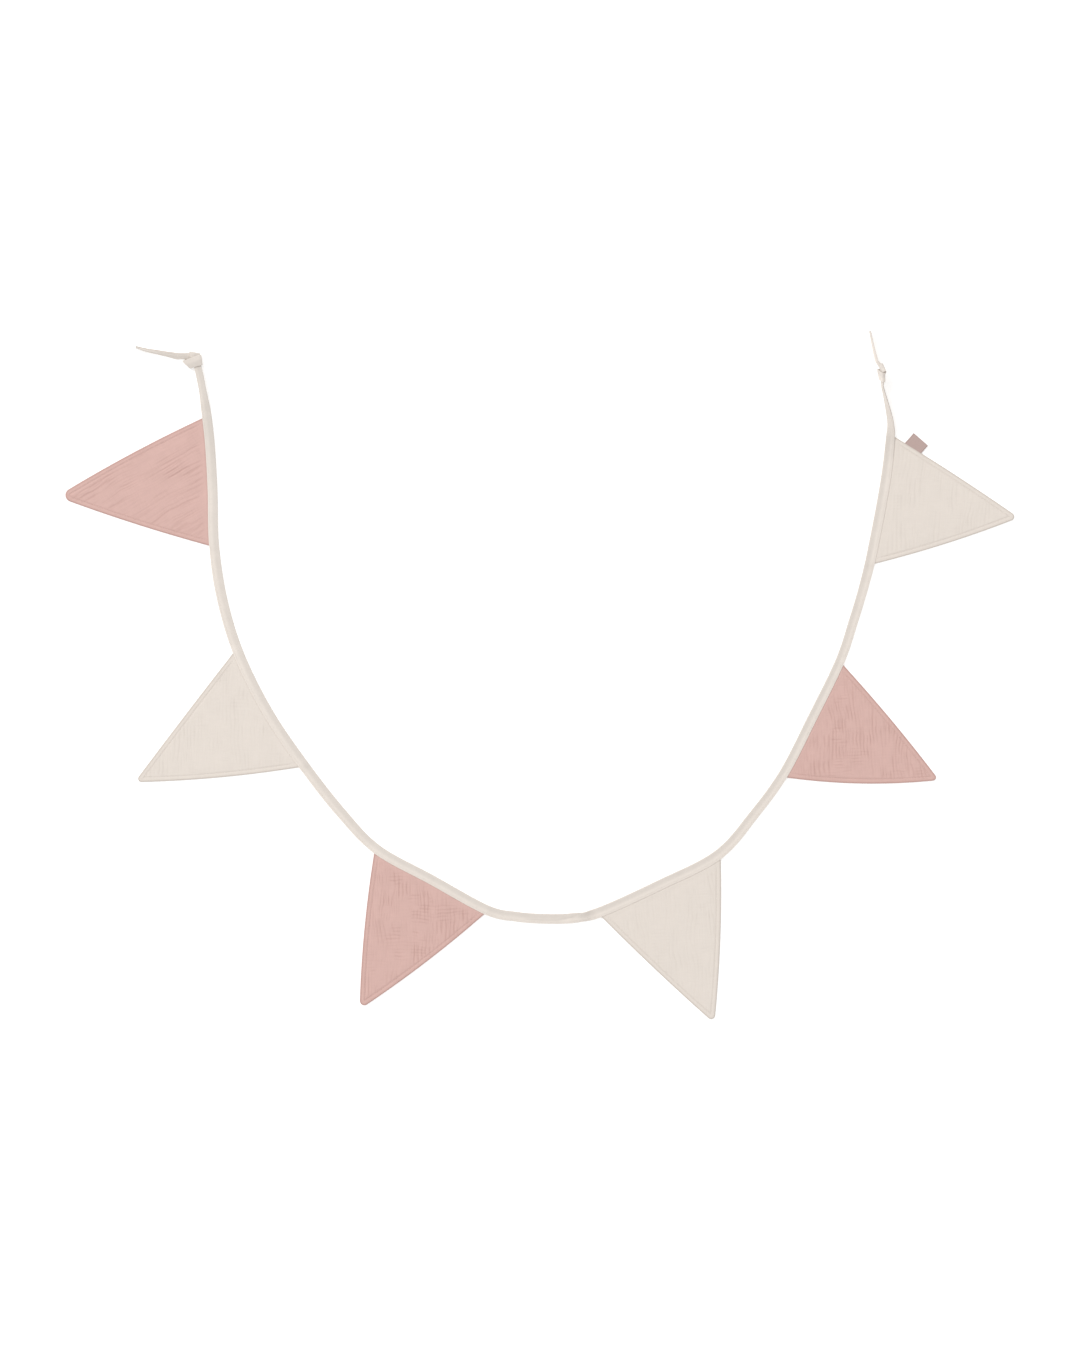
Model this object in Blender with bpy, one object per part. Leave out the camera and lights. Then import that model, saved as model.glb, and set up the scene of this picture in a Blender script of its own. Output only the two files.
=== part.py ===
"""Fabric bunting: six turned muslin pennants caught in one length of folded cotton tape.

The bunting lies flat on a surface, its tape in a U and its pennants pointing outwards.
The tape is knotted near both ends and its tails stand on edge.
Metres, +Z up, the surface at z = 0. Distances "along" are measured along the tape's run,
from the left knot round to the right knot.
"""
import math
from collections import namedtuple

import bmesh
import bpy
import numpy as np
from mathutils import Vector

MM = 0.001
GAP = 0.3 * MM

# Tape: double-folded cotton, closed fold on the inside of the U, open edges outside.
TAPE_WIDTH = 14.0 * MM
TAPE_THICK = 2.0 * MM
TAPE_THICK_OVER_SEAM = 3.2 * MM
TAPE_THICK_IN_KNOT = 1.5 * MM
TAPE_THICK_IN_TAIL = 1.8 * MM
FOLD_WALL = 2.6 * MM
SLIT_DEPTH = 1.0 * MM
SLIT_HALF = 0.15 * MM
FOLD_ROUND = 0.6 * MM
STATION_PITCH = 12.0 * MM
TWIST_PITCH = 4.0 * MM
SLOT_RUN_OUT = 3.0 * MM
RUN_FROM = 12.0 * MM

# Pennants: two layers of muslin sewn right sides together, turned and topstitched.
SEAM_THICK = 1.2 * MM
SEAM_SHORT_OF_FOLD = 1.0 * MM
PUFF_FROM_TAPE = 12.0 * MM
FIELD_FROM_EDGE = 7.5
WAVE_HEIGHT = 0.28 * MM
WAVE_LENGTH = 46.0 * MM
WAVE_FADE_IN = 9.0

# Height of a pennant's upper face by distance in from its free edge, in millimetres.
EDGE_PROFILE = (
    # (distance in, height)
    (0.0, 0.95),
    (0.5, 1.60),
    (1.7, 1.95),
    (4.9, 2.00),
    (6.2, 1.55),
    (7.5, 2.10),
    (16.0, 2.35),
)
EDGE_COLUMNS = (0.0, 0.5, 1.7, 4.9, 6.2, FIELD_FROM_EDGE)
EDGE_SLANT = 1.12
EDGE_SHARE_AT_MOST = 0.46
FIELD_COLUMNS = 5
SIDE_ROWS = 13
FIRST_ROW = 0.35
TIP_ROWS = (0.72, 0.46, 0.24)

# Side label: a folded ribbon, its two ends caught in the top seam of pennant 6.
LABEL_LENGTH = 25.5 * MM
LABEL_STANDS_OUT = 15.2 * MM
LABEL_SEWN_IN = 5.0 * MM
LABEL_LAYER = 0.3 * MM
LABEL_ALONG_SIDE = 30.6 * MM
LABEL_TILT = math.radians(-5.0)
LABEL_POCKET_FLOOR = 0.4 * MM
LABEL_BUMP = 0.85 * MM
LABEL_BUMP_REACH = 28.0 * MM

# Middle of the tape's run, from the left knot to the right one, in millimetres.
RUN_X_Y = (
    (-461, 415), (-453, 371), (-446, 317), (-442, 250), (-440, 176), (-429, 102), (-406, 27),
    (-367, -51), (-318.7, -122), (-268.7, -185.7), (-219.6, -235.6), (-147, -276),
    (-72, -317), (-33, -326), (7, -329), (44, -328), (81, -320), (161.4, -283.6),
    (240.4, -242.7), (290, -187), (329.4, -132.2), (367.2, -58.6), (404.6, 18.2),
    (422.6, 71.4), (439.5, 128.6), (451.4, 181.7), (466.3, 262.8), (472.5, 317),
    (473, 338), (470.5, 357), (463, 389),
)

# How the tape lies where it isn't flat: roll lifts its open edges, negative ones its fold.
TapeState = namedtuple("TapeState", "along roll_deg lift_mm width_mm")
RUN_STATES = (
    TapeState(0, 0, 3.0, 11.0),
    TapeState(14, 0, 2.2, 12.6),
    TapeState(32, 0, 0.5, 14.0),
    TapeState(50, 0, 0.0, 14.0),
    TapeState(1004, 0, 0.0, 14.0),
    TapeState(1018, -24, 0.0, 14.0),
    TapeState(1031, 0, 0.0, 14.0),
    TapeState(1847, 0, 0.0, 14.0),
    TapeState(1858, 36, 0.0, 14.0),
    TapeState(1876, 60, 0.3, 14.0),
    TapeState(1894, 71, 2.2, 13.6),
    TapeState(1909, 75, 3.6, 13.2),
)

# Tails, from the knot to the cut end.
LEFT_TAIL_X_Y = ((-489, 430), (-500, 432), (-515, 435), (-531, 438), (-545, 442))
LEFT_TAIL_STATES = (
    TapeState(0, 14, 0.8, 9.6),
    TapeState(11, 46, 0.3, 11.0),
    TapeState(26, 66, 0.0, 12.8),
    TapeState(43, 76, 0.0, 14.0),
    TapeState(60, 80, 0.0, 14.0),
)
RIGHT_TAIL_X_Y = ((454, 423), (451, 435), (448, 449), (445, 464))
RIGHT_TAIL_STATES = (
    TapeState(0, 76, 3.2, 13.0),
    TapeState(14, 79, 1.4, 13.6),
    TapeState(30, 81, 0.2, 14.0),
    TapeState(50, 82, 0.0, 14.0),
)

# Overhand knots in the flat tape: each folds the tape three times round a pentagon.
Knot = namedtuple("Knot", "x y travel_deg lean_deg pinch_in_mm pinch_out_mm")
LEFT_KNOT = Knot(-468.2, 423.4, 98.0, 0.0, 4.6, 5.4)
RIGHT_KNOT = Knot(460.6, 406.5, 101.5, 72.0, 1.5, 1.5)
KNOT_PITCH = TAPE_THICK_IN_KNOT + GAP
KNOT_SIDE = TAPE_WIDTH / math.sin(math.radians(72.0))
KNOT_RADIUS = KNOT_SIDE / (2.0 * math.sin(math.radians(36.0)))
KNOT_LEVELS = (2, 0, 3, 1)
KNOT_SLIT_DEPTH = 0.6 * MM
FOLD_STEPS = 5
TURN = math.radians(72.0)

PINK = (0.690, 0.480, 0.430)
CREAM = (0.810, 0.745, 0.680)
ROSE_TAUPE = (0.510, 0.380, 0.350)

# Pennants: where their corners meet the tape, and their tips, in millimetres.
Pennant = namedtuple("Pennant", "name colour start end tip_x tip_y tip_round bow_start bow_end")
PENNANTS = (
    Pennant("pennant_1", PINK, 68.8, 241, -640.5, 242, 7.0, 2.7, 2.1),
    Pennant("pennant_2", CREAM, 392, 565, -542, -142, 4.5, 0.6, 3.6),
    Pennant("pennant_3", PINK, 718, 886, -240, -445, 6.0, 3.2, 3.2),
    Pennant("pennant_4", CREAM, 1042, 1218.8, 233, -464, 5.5, 1.6, 3.2),
    Pennant("pennant_5", PINK, 1359, 1527.4, 534, -140, 4.5, 5.8, 2.2),
    Pennant("pennant_6", CREAM, 1670, 1842, 640, 213, 5.5, 3.0, 1.4),
)
LABELLED = PENNANTS[-1].name

Station = namedtuple("Station", "fold open normal thick slot_depth slot_half")


def flat(x, y, z=0.0):
    """Vector from two numbers in millimetres and a height in metres."""
    return Vector((x * MM, y * MM, z))


def unit_at(angle):
    """Unit vector in the plane at an angle in radians."""
    return Vector((math.cos(angle), math.sin(angle), 0.0))


class Route:
    """Smooth plan curve through hand-placed points, read by distance along it."""

    def __init__(self, points_mm, fine=24):
        anchors = [flat(*p) for p in points_mm]
        first = anchors[0] * 2 - anchors[1]
        last = anchors[-1] * 2 - anchors[-2]
        anchors = [first] + anchors + [last]
        self.points = []
        for p0, p1, p2, p3 in zip(anchors, anchors[1:], anchors[2:], anchors[3:]):
            for k in range(fine):
                self.points.append(self.between(p0, p1, p2, p3, k / fine))
        self.points.append(anchors[-2])
        steps = [(b - a).length for a, b in zip(self.points, self.points[1:])]
        self.along = np.concatenate(([0.0], np.cumsum(steps)))
        self.xs = np.array([p.x for p in self.points])
        self.ys = np.array([p.y for p in self.points])

    @staticmethod
    def between(p0, p1, p2, p3, t):
        """Point of a Catmull-Rom piece."""
        a = 2 * p1 + (p2 - p0) * t
        b = (2 * p0 - 5 * p1 + 4 * p2 - p3) * t * t
        c = (3 * p1 - p0 - 3 * p2 + p3) * t ** 3
        return 0.5 * (a + b + c)

    @property
    def length(self):
        return float(self.along[-1])

    def at(self, distance):
        """Place at a distance, and the unit directions along the route and to its right."""
        here = Vector((np.interp(distance, self.along, self.xs),
                       np.interp(distance, self.along, self.ys), 0.0))
        reach = 2.0 * MM
        ahead = min(distance + reach, self.length)
        behind = max(distance - reach, 0.0)
        step = Vector((np.interp(ahead, self.along, self.xs) - np.interp(behind, self.along, self.xs),
                       np.interp(ahead, self.along, self.ys) - np.interp(behind, self.along, self.ys),
                       0.0)).normalized()
        return here, step, Vector((step.y, -step.x, 0.0))


def read_states(states, distance):
    """Roll, lift and width of the tape at a distance, from a table of states."""
    stops = [s.along * MM for s in states]
    roll = np.interp(distance, stops, [math.radians(s.roll_deg) for s in states])
    lift = np.interp(distance, stops, [s.lift_mm * MM for s in states])
    width = np.interp(distance, stops, [s.width_mm * MM for s in states])
    return float(roll), float(lift), float(width)


def lying_station(route, states, distance, seam, thin=None):
    """Tape station resting on the surface; seam runs from 0, empty, to 1, round a pennant."""
    here, ahead, right = route.at(distance)
    roll, lift, width = read_states(states, distance)
    empty = TAPE_THICK if thin is None else thin
    thick = empty + (TAPE_THICK_OVER_SEAM - empty) * seam
    across = right * math.cos(roll) + Vector((0, 0, math.sin(roll)))
    normal = across.cross(ahead)
    height = lift + 0.5 * width * abs(math.sin(roll)) + 0.5 * thick * abs(math.cos(roll))
    middle = here + Vector((0, 0, height))
    full_depth = TAPE_WIDTH - FOLD_WALL
    slot_depth = SLIT_DEPTH + (full_depth - SLIT_DEPTH) * seam
    slot_half = SLIT_HALF + (0.5 * SEAM_THICK + GAP - SLIT_HALF) * seam
    half = across * (0.5 * width)
    return Station(middle - half, middle + half, normal, thick, slot_depth, slot_half)


def run_distances(route):
    """Distances of the run's stations and how far each is opened round a pennant."""
    stops = {}
    for p in PENNANTS:
        start = p.start * MM - 2 * GAP
        end = p.end * MM + 2 * GAP
        stops[start - SLOT_RUN_OUT] = 0.0
        stops[start] = 1.0
        stops[end] = 1.0
        stops[end + SLOT_RUN_OUT] = 0.0
    marks = sorted(stops)
    seams = [stops[m] for m in marks]
    wanted = [RUN_FROM, route.length]
    for a, b in zip(RUN_STATES, RUN_STATES[1:]):
        pitch = STATION_PITCH if a.roll_deg == b.roll_deg else TWIST_PITCH
        low, high = max(a.along * MM, RUN_FROM), min(b.along * MM, route.length)
        count = max(1, math.ceil((high - low) / pitch))
        wanted += [low + (high - low) * k / count for k in range(1, count)]
    for d in wanted:
        if min(abs(d - other) for other in stops) > 0.4 * TWIST_PITCH:
            stops[d] = float(np.interp(d, marks, seams))
    return sorted(stops.items())


def knot_stations(knot):
    """Stations of a flat overhand knot, in order from the run's side to the tail's side.

    The tape makes four passes. Each runs along one side of a pentagon, between that side
    and the diagonal, and folds over the next pentagon side onto another level.
    """
    ahead = unit_at(math.radians(knot.travel_deg))
    right = Vector((ahead.y, -ahead.x, 0.0))
    if knot.lean_deg:
        lean = math.radians(knot.lean_deg)
        axis_u = ahead
        axis_v = -(right * math.cos(lean) + Vector((0, 0, math.sin(lean))))
        first_pass = -0.5 * TURN
    else:
        axis_u = Vector((1, 0, 0))
        axis_v = Vector((0, 1, 0))
        first_pass = math.radians(knot.travel_deg)
    axis_n = axis_u.cross(axis_v)
    first_side = first_pass - 0.5 * math.pi

    def in_plane(angle, radius):
        return (axis_u * math.cos(angle) + axis_v * math.sin(angle)) * radius

    def corner(k):
        """Corner between side k and side k + 1."""
        return in_plane(first_side + TURN * (k + 0.5), KNOT_RADIUS)

    def outward(k):
        return in_plane(first_side + TURN * k, 1.0)

    def level(k):
        return axis_n * ((k - 1.5) * KNOT_PITCH)

    stations = []

    def add(right_edge, left_edge, normal):
        stations.append((left_edge, right_edge, normal))

    entry_left = corner(3) + (corner(4) - corner(3)).normalized() * knot.pinch_in_mm * MM
    add(corner(4) + level(KNOT_LEVELS[0]), entry_left + level(KNOT_LEVELS[0]), axis_n)
    edges = (corner(0), corner(1))
    normal = axis_n
    for turn, side in enumerate((1, 3, 0)):
        low, high = KNOT_LEVELS[turn], KNOT_LEVELS[turn + 1]
        middle = (level(low) + level(high)) * 0.5
        reach = (level(high) - level(low)) * 0.5
        for step in range(FOLD_STEPS + 1):
            phase = math.pi * step / FOLD_STEPS
            shift = middle - reach * math.cos(phase) + outward(side) * reach.length * math.sin(phase)
            facing = normal * math.cos(phase) + outward(side) * math.sin(phase)
            add(edges[0] + shift, edges[1] + shift, facing)
        normal = -normal
        if side == 1:
            edges = (corner(3), corner(2))
        elif side == 3:
            edges = (corner(4), corner(0))
    exit_right = corner(2) + (corner(1) - corner(2)).normalized() * knot.pinch_out_mm * MM
    add(exit_right + level(KNOT_LEVELS[3]), corner(1) + level(KNOT_LEVELS[3]), normal)

    lowest = min(min(a.z, b.z) - 0.5 * TAPE_THICK_IN_KNOT for a, b, _ in stations)
    centre = flat(knot.x, knot.y, -lowest)
    return [(a + centre, b + centre, n) for a, b, n in stations]


def knot_section(fold, open_edge, normal):
    """Station of the tape inside a knot."""
    return Station(fold, open_edge, normal, TAPE_THICK_IN_KNOT, KNOT_SLIT_DEPTH, SLIT_HALF)


def tail_stations(points_mm, states, swapped):
    """Stations of a tail, from its knot to its cut end; three folds left it face down."""
    route = Route(points_mm)
    count = math.ceil(route.length / TWIST_PITCH)
    result = []
    for k in range(count + 1):
        distance = route.length * k / count
        s = lying_station(route, states, distance, 0.0, TAPE_THICK_IN_TAIL)
        s = s._replace(normal=-s.normal)
        if swapped:
            s = s._replace(fold=s.open, open=s.fold)
        result.append(s)
    return result


def tape_stations():
    """Every station of the tape, from the left cut end to the right one."""
    run = Route(RUN_X_Y)
    left = [knot_section(right, left_edge, n) for left_edge, right, n in knot_stations(LEFT_KNOT)]
    right = [knot_section(left_edge, right, n) for left_edge, right, n in knot_stations(RIGHT_KNOT)]
    left_tail = tail_stations(LEFT_TAIL_X_Y, LEFT_TAIL_STATES, False)
    right_tail = tail_stations(RIGHT_TAIL_X_Y, RIGHT_TAIL_STATES, True)
    stations = list(reversed(left_tail)) + list(reversed(left))
    for distance, seam in run_distances(run):
        stations.append(lying_station(run, RUN_STATES, distance, seam))
    return stations + right + right_tail


def tape_profile(s):
    """Section of the tape at a station, as (across, up): two plies joined by a rounded fold."""
    width = (s.open - s.fold).length
    up = 0.5 * s.thick
    depth = min(s.slot_depth, width - FOLD_WALL)
    return (
        (FOLD_ROUND, -up), (width, -up), (width, -s.slot_half), (width - depth, -s.slot_half),
        (width - depth, s.slot_half), (width, s.slot_half), (width, up), (FOLD_ROUND, up),
        (0.0, 0.4 * up), (0.0, -0.4 * up),
    )


def make_material(name, colour, roughness):
    material = bpy.data.materials.new(name)
    material.use_nodes = True
    shader = material.node_tree.nodes["Principled BSDF"]
    shader.inputs["Base Color"].default_value = (*colour, 1.0)
    shader.inputs["Roughness"].default_value = roughness
    shader.inputs["Metallic"].default_value = 0.0
    return material


def place(name, bm, colour, collection):
    """Turn a bmesh into a named object with its own material."""
    bmesh.ops.recalc_face_normals(bm, faces=bm.faces)
    if bm.calc_volume(signed=True) < 0:
        bmesh.ops.reverse_faces(bm, faces=bm.faces)
    mesh = bpy.data.meshes.new(name)
    bm.to_mesh(mesh)
    bm.free()
    mesh.shade_smooth()
    mesh.set_sharp_from_angle(angle=math.radians(40.0))
    mesh.materials.append(make_material(name + "_cloth", colour, 0.9))
    obj = bpy.data.objects.new(name, mesh)
    collection.objects.link(obj)
    return obj


def build_tape(collection):
    """Loft the tape through its stations and cap both cut ends."""
    bm = bmesh.new()
    rings = []
    for s in tape_stations():
        across = (s.open - s.fold).normalized()
        profile = tape_profile(s)
        rings.append([bm.verts.new(s.fold + across * a + s.normal * b) for a, b in profile])
    for a, b in zip(rings, rings[1:]):
        for k in range(len(a)):
            following = (k + 1) % len(a)
            # Both faces of a ply bend along the same diagonal, so a twist can't close the slit.
            if profile[following][0] >= profile[k][0]:
                bm.faces.new((a[k], a[following], b[following]))
                bm.faces.new((a[k], b[following], b[k]))
            else:
                bm.faces.new((a[k], a[following], b[k]))
                bm.faces.new((a[following], b[following], b[k]))
    bm.faces.new(rings[0])
    bm.faces.new(reversed(rings[-1]))
    return place("tape", bm, CREAM, collection)


class PennantShape:
    """Plan and heights of one pennant, from its corners on the tape and its tip."""

    def __init__(self, row, run):
        self.row = row
        self.run = run
        self.start = row.start * MM
        self.end = row.end * MM
        self.corner_a = self.on_tape(0.0, 0.5 * TAPE_WIDTH)
        self.corner_b = self.on_tape(1.0, 0.5 * TAPE_WIDTH)
        apex = flat(row.tip_x, row.tip_y)
        radius = row.tip_round * MM
        for _ in range(2):
            to_a = (self.corner_a - apex).normalized()
            to_b = (self.corner_b - apex).normalized()
            half_angle = 0.5 * to_a.angle(to_b)
            bisector = (to_a + to_b).normalized()
            apex = flat(row.tip_x, row.tip_y) - bisector * (radius / math.sin(half_angle) - radius)
        self.tip_out = -bisector
        self.tip_side = (to_a - to_b).normalized()
        self.tip_radius = radius
        self.tip_centre = apex + bisector * (radius / math.sin(half_angle))
        self.tip_spread = 0.5 * math.pi - half_angle
        self.end_a = apex + to_a * (radius / math.tan(half_angle))
        self.end_b = apex + to_b * (radius / math.tan(half_angle))
        middle = (self.corner_a + self.corner_b + apex) / 3
        self.out_a = self.outward(self.corner_a, self.end_a, middle)
        self.out_b = self.outward(self.corner_b, self.end_b, middle)
        self.height = (0.5 * (self.corner_a + self.corner_b) - self.tip_centre).length
        self.build_rows()

    @staticmethod
    def outward(a, b, inside):
        line = (b - a).normalized()
        side = Vector((line.y, -line.x, 0.0))
        return side if side.dot(inside - a) < 0 else -side

    def on_tape(self, share, offset):
        """Point beside the tape's middle, at a share of the way along the pennant's base."""
        here, _, right = self.run.at(self.start + (self.end - self.start) * share)
        return here + right * offset

    def side_points(self, h):
        """The two free edges at h, from 0 at the tape to 1 where the tip's round begins."""
        swell = 4.0 * h * (1.0 - h) * MM
        a = self.corner_a.lerp(self.end_a, h) + self.out_a * self.row.bow_start * swell
        b = self.corner_b.lerp(self.end_b, h) + self.out_b * self.row.bow_end * swell
        return a, b

    def shares(self, width):
        """Columns across a row: close together at both edges, even in the field."""
        slant = EDGE_SLANT * MM
        squeeze = min(1.0, EDGE_SHARE_AT_MOST * width / (EDGE_COLUMNS[-1] * slant))
        edge = [c * slant * squeeze / width for c in EDGE_COLUMNS]
        inner = np.linspace(edge[-1], 1.0 - edge[-1], FIELD_COLUMNS + 2)[1:-1]
        return edge + list(inner) + [1.0 - e for e in reversed(edge)]

    def build_rows(self):
        """Plan points row by row; each also carries how far it is out from the tape."""
        self.rows = []
        self.from_tape = []
        hidden = -0.5 * TAPE_WIDTH + FOLD_WALL + SEAM_SHORT_OF_FOLD
        width = (self.corner_b - self.corner_a).length
        for offset in (hidden, 0.25 * TAPE_WIDTH):
            self.rows.append([self.on_tape(share, offset) for share in self.shares(width)])
            self.from_tape.append(0.0)
        puffed = PUFF_FROM_TAPE / self.height
        near = [0.0, FIRST_ROW * puffed, puffed]
        field = list(np.linspace(near[-1], 1.0, SIDE_ROWS)[1:])
        for h in near + field:
            a, b = self.side_points(h)
            fade = (1.0 - h) ** 2
            row = []
            for share in self.shares((b - a).length):
                straight = self.corner_a.lerp(self.corner_b, share)
                curved = self.on_tape(share, 0.5 * TAPE_WIDTH)
                row.append(a.lerp(b, share) + (curved - straight) * fade)
            self.rows.append(row)
            self.from_tape.append(h * self.height)
        self.flat_from = len(self.rows) - len(field) - 1
        for part in TIP_ROWS:
            spread = self.tip_spread * part
            out = self.tip_out * math.cos(spread) * self.tip_radius
            side = self.tip_side * math.sin(spread) * self.tip_radius
            a = self.tip_centre + out + side
            b = self.tip_centre + out - side
            self.rows.append([a.lerp(b, share) for share in self.shares((b - a).length)])
            self.from_tape.append(self.height)

    def edge_distance(self, point):
        """Distance in from the nearest free edge."""
        best = self.height
        for k in range(SIDE_ROWS * 2):
            a0, b0 = self.side_points(k / (SIDE_ROWS * 2))
            a1, b1 = self.side_points((k + 1) / (SIDE_ROWS * 2))
            for p, q in ((a0, a1), (b0, b1)):
                line = q - p
                t = min(1.0, max(0.0, (point - p).dot(line) / line.length_squared))
                best = min(best, (point - p - line * t).length)
        if (point - self.tip_centre).dot(self.tip_out) > 0:
            best = min(best, max(0.0, self.tip_radius - (point - self.tip_centre).length))
        return best

    def label_frame(self):
        """Middle of the label on the pennant's second edge, and its two plan directions."""
        _, at_tape = self.side_points(0.0)
        _, further = self.side_points(0.5)
        side = (further - at_tape).normalized()
        spin = unit_at(LABEL_TILT)
        along = Vector((side.x * spin.x - side.y * spin.y, side.x * spin.y + side.y * spin.x, 0))
        out = Vector((along.y, -along.x, 0.0))
        if out.dot(self.out_b) < 0:
            out = -out
        middle = at_tape + side * LABEL_ALONG_SIDE + self.out_b * self.row.bow_end * 0.5 * MM
        return middle, along, out

    def top_height(self, point, from_tape):
        """Height of the upper face: rolled edge, topstitched channel, soft puffed field."""
        distance = self.edge_distance(point) / MM
        stops = [p[0] for p in EDGE_PROFILE]
        loft = float(np.interp(distance, stops, [p[1] for p in EDGE_PROFILE])) * MM
        phase = self.start * 9.0
        turn = 2.0 * math.pi / WAVE_LENGTH
        wave = math.sin(point.x * turn + phase) * math.cos(point.y * turn * 0.83 - 1.7 * phase)
        wave += 0.6 * math.sin((point.x + 1.3 * point.y) * turn * 0.61 + 2.0 * phase)
        loft += WAVE_HEIGHT * wave * min(1.0, max(0.0, distance - FIELD_FROM_EDGE) / WAVE_FADE_IN)
        if self.row.name == LABELLED:
            middle, along, out = self.label_frame()
            reach_along = abs((point - middle).dot(along)) / LABEL_BUMP_REACH
            reach_in = abs((point - middle).dot(out)) / (0.5 * LABEL_BUMP_REACH)
            near = max(0.0, 1.0 - max(reach_along, reach_in) ** 4)
            loft += LABEL_BUMP * near * min(1.0, distance / EDGE_COLUMNS[1])
        seam_top = 0.5 * (TAPE_THICK_OVER_SEAM + SEAM_THICK)
        rise = min(1.0, from_tape / PUFF_FROM_TAPE)
        return seam_top + (loft - seam_top) * rise

    def bottom_height(self, from_tape):
        seam_bottom = 0.5 * (TAPE_THICK_OVER_SEAM - SEAM_THICK)
        return seam_bottom * max(0.0, 1.0 - from_tape / PUFF_FROM_TAPE)


def build_pennant(row, run, collection):
    """Close one pennant: upper face, flat underside, rolled rim and raw top edge."""
    shape = PennantShape(row, run)
    bm = bmesh.new()
    last_row = len(shape.rows) - 1
    last_column = len(shape.rows[0]) - 1
    middle = 0.5 * TAPE_THICK_OVER_SEAM
    top = []
    for j, (points, from_tape) in enumerate(zip(shape.rows, shape.from_tape)):
        line = []
        for c, point in enumerate(points):
            height = shape.top_height(point, from_tape)
            if c in (0, last_column) or j == last_row:
                rim = EDGE_PROFILE[0][1] * MM
                rise = min(1.0, from_tape / PUFF_FROM_TAPE)
                height = middle + (rim - middle) * rise
            line.append(bm.verts.new((point.x, point.y, height)))
        top.append(line)

    bottom = {}

    def under(j, c):
        if (j, c) not in bottom:
            point = shape.rows[j][c]
            height = shape.bottom_height(shape.from_tape[j])
            bottom[(j, c)] = bm.verts.new((point.x, point.y, height))
        return bottom[(j, c)]

    for j in range(last_row):
        for c in range(last_column):
            bm.faces.new((top[j][c], top[j][c + 1], top[j + 1][c + 1], top[j + 1][c]))
    flat_from = shape.flat_from
    inner = range(1, last_column)
    for j in range(flat_from):
        for c in range(1, last_column - 1):
            bm.faces.new((under(j, c), under(j + 1, c), under(j + 1, c + 1), under(j, c + 1)))
    loop = [under(flat_from, c) for c in inner]
    loop += [under(j, last_column - 1) for j in range(flat_from + 1, last_row - 1)]
    loop += [under(last_row - 1, c) for c in reversed(inner)]
    loop += [under(j, 1) for j in range(last_row - 2, flat_from, -1)]
    bm.faces.new(loop)
    for j in range(last_row - 1):
        bm.faces.new((top[j][0], top[j + 1][0], under(j + 1, 1), under(j, 1)))
        right = last_column
        bm.faces.new((top[j + 1][right], top[j][right], under(j, right - 1), under(j + 1, right - 1)))
    for j, rim in ((0, 0), (last_row - 1, last_row)):
        for c in range(1, last_column - 1):
            bm.faces.new((top[rim][c], top[rim][c + 1], under(j, c + 1), under(j, c)))
        for edge, inside in ((0, 1), (last_column, last_column - 1)):
            bm.faces.new((top[rim][edge], top[rim][inside], under(j, inside)))
            if rim == last_row:
                bm.faces.new((top[j][edge], top[rim][edge], under(j, inside)))
    return shape, place(row.name, bm, row.colour, collection)


def add_prism(bm, outline, origin, along, out, length):
    """Add a bar: an outline given as (out, height), drawn out along a horizontal direction."""
    start = origin - along * (0.5 * length)
    near = [bm.verts.new(start + out * a + Vector((0, 0, z))) for a, z in outline]
    face = bm.faces.new(near)
    grown = bmesh.ops.extrude_face_region(bm, geom=[face])
    moved = [g for g in grown["geom"] if isinstance(g, bmesh.types.BMVert)]
    bmesh.ops.translate(bm, verts=moved, vec=along * length)


def build_label(shape, collection, cutters):
    """Folded side label, and the pocket between the pennant's layers that holds its ends."""
    middle, along, out = shape.label_frame()
    floor = LABEL_POCKET_FLOOR + GAP
    layer = LABEL_LAYER
    between = GAP
    thick = 2 * layer + between
    inside = -LABEL_SEWN_IN
    tip = LABEL_STANDS_OUT
    outline = (
        (inside, floor), (tip - 0.5 * thick, floor), (tip - 0.15 * thick, floor + 0.2 * thick),
        (tip, floor + 0.5 * thick), (tip - 0.15 * thick, floor + 0.8 * thick),
        (tip - 0.5 * thick, floor + thick), (inside, floor + thick),
        (inside, floor + thick - layer), (tip - 0.5 * thick - layer, floor + thick - layer),
        (tip - 0.5 * thick - layer, floor + layer), (inside, floor + layer),
    )
    bm = bmesh.new()
    add_prism(bm, outline, middle, along, out, LABEL_LENGTH)
    place("side_label", bm, ROSE_TAUPE, collection)

    pocket_low = LABEL_POCKET_FLOOR
    pocket_high = LABEL_POCKET_FLOOR + thick + 2 * GAP
    pocket_in = inside - GAP
    pocket = (
        (pocket_in, pocket_low), (-pocket_in, pocket_low),
        (-pocket_in, pocket_high), (pocket_in, pocket_high),
    )
    bm = bmesh.new()
    add_prism(bm, pocket, middle, along, out, LABEL_LENGTH + 2 * GAP)
    cutter = place("label_pocket_cutter", bm, ROSE_TAUPE, cutters)
    cutter.hide_render = True
    cutter.display_type = "WIRE"
    return cutter


def main():
    for obj in list(bpy.data.objects):
        bpy.data.objects.remove(obj, do_unlink=True)
    bunting = bpy.data.collections.new("fabric_bunting")
    cutters = bpy.data.collections.new("cutters")
    bpy.context.scene.collection.children.link(bunting)
    bpy.context.scene.collection.children.link(cutters)

    run = Route(RUN_X_Y)
    build_tape(bunting)
    for row in PENNANTS:
        shape, pennant = build_pennant(row, run, bunting)
        if row.name == LABELLED:
            cutter = build_label(shape, bunting, cutters)
            cut = pennant.modifiers.new("label_pocket", "BOOLEAN")
            cut.operation = "DIFFERENCE"
            cut.solver = "EXACT"
            cut.object = cutter


main()
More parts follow.
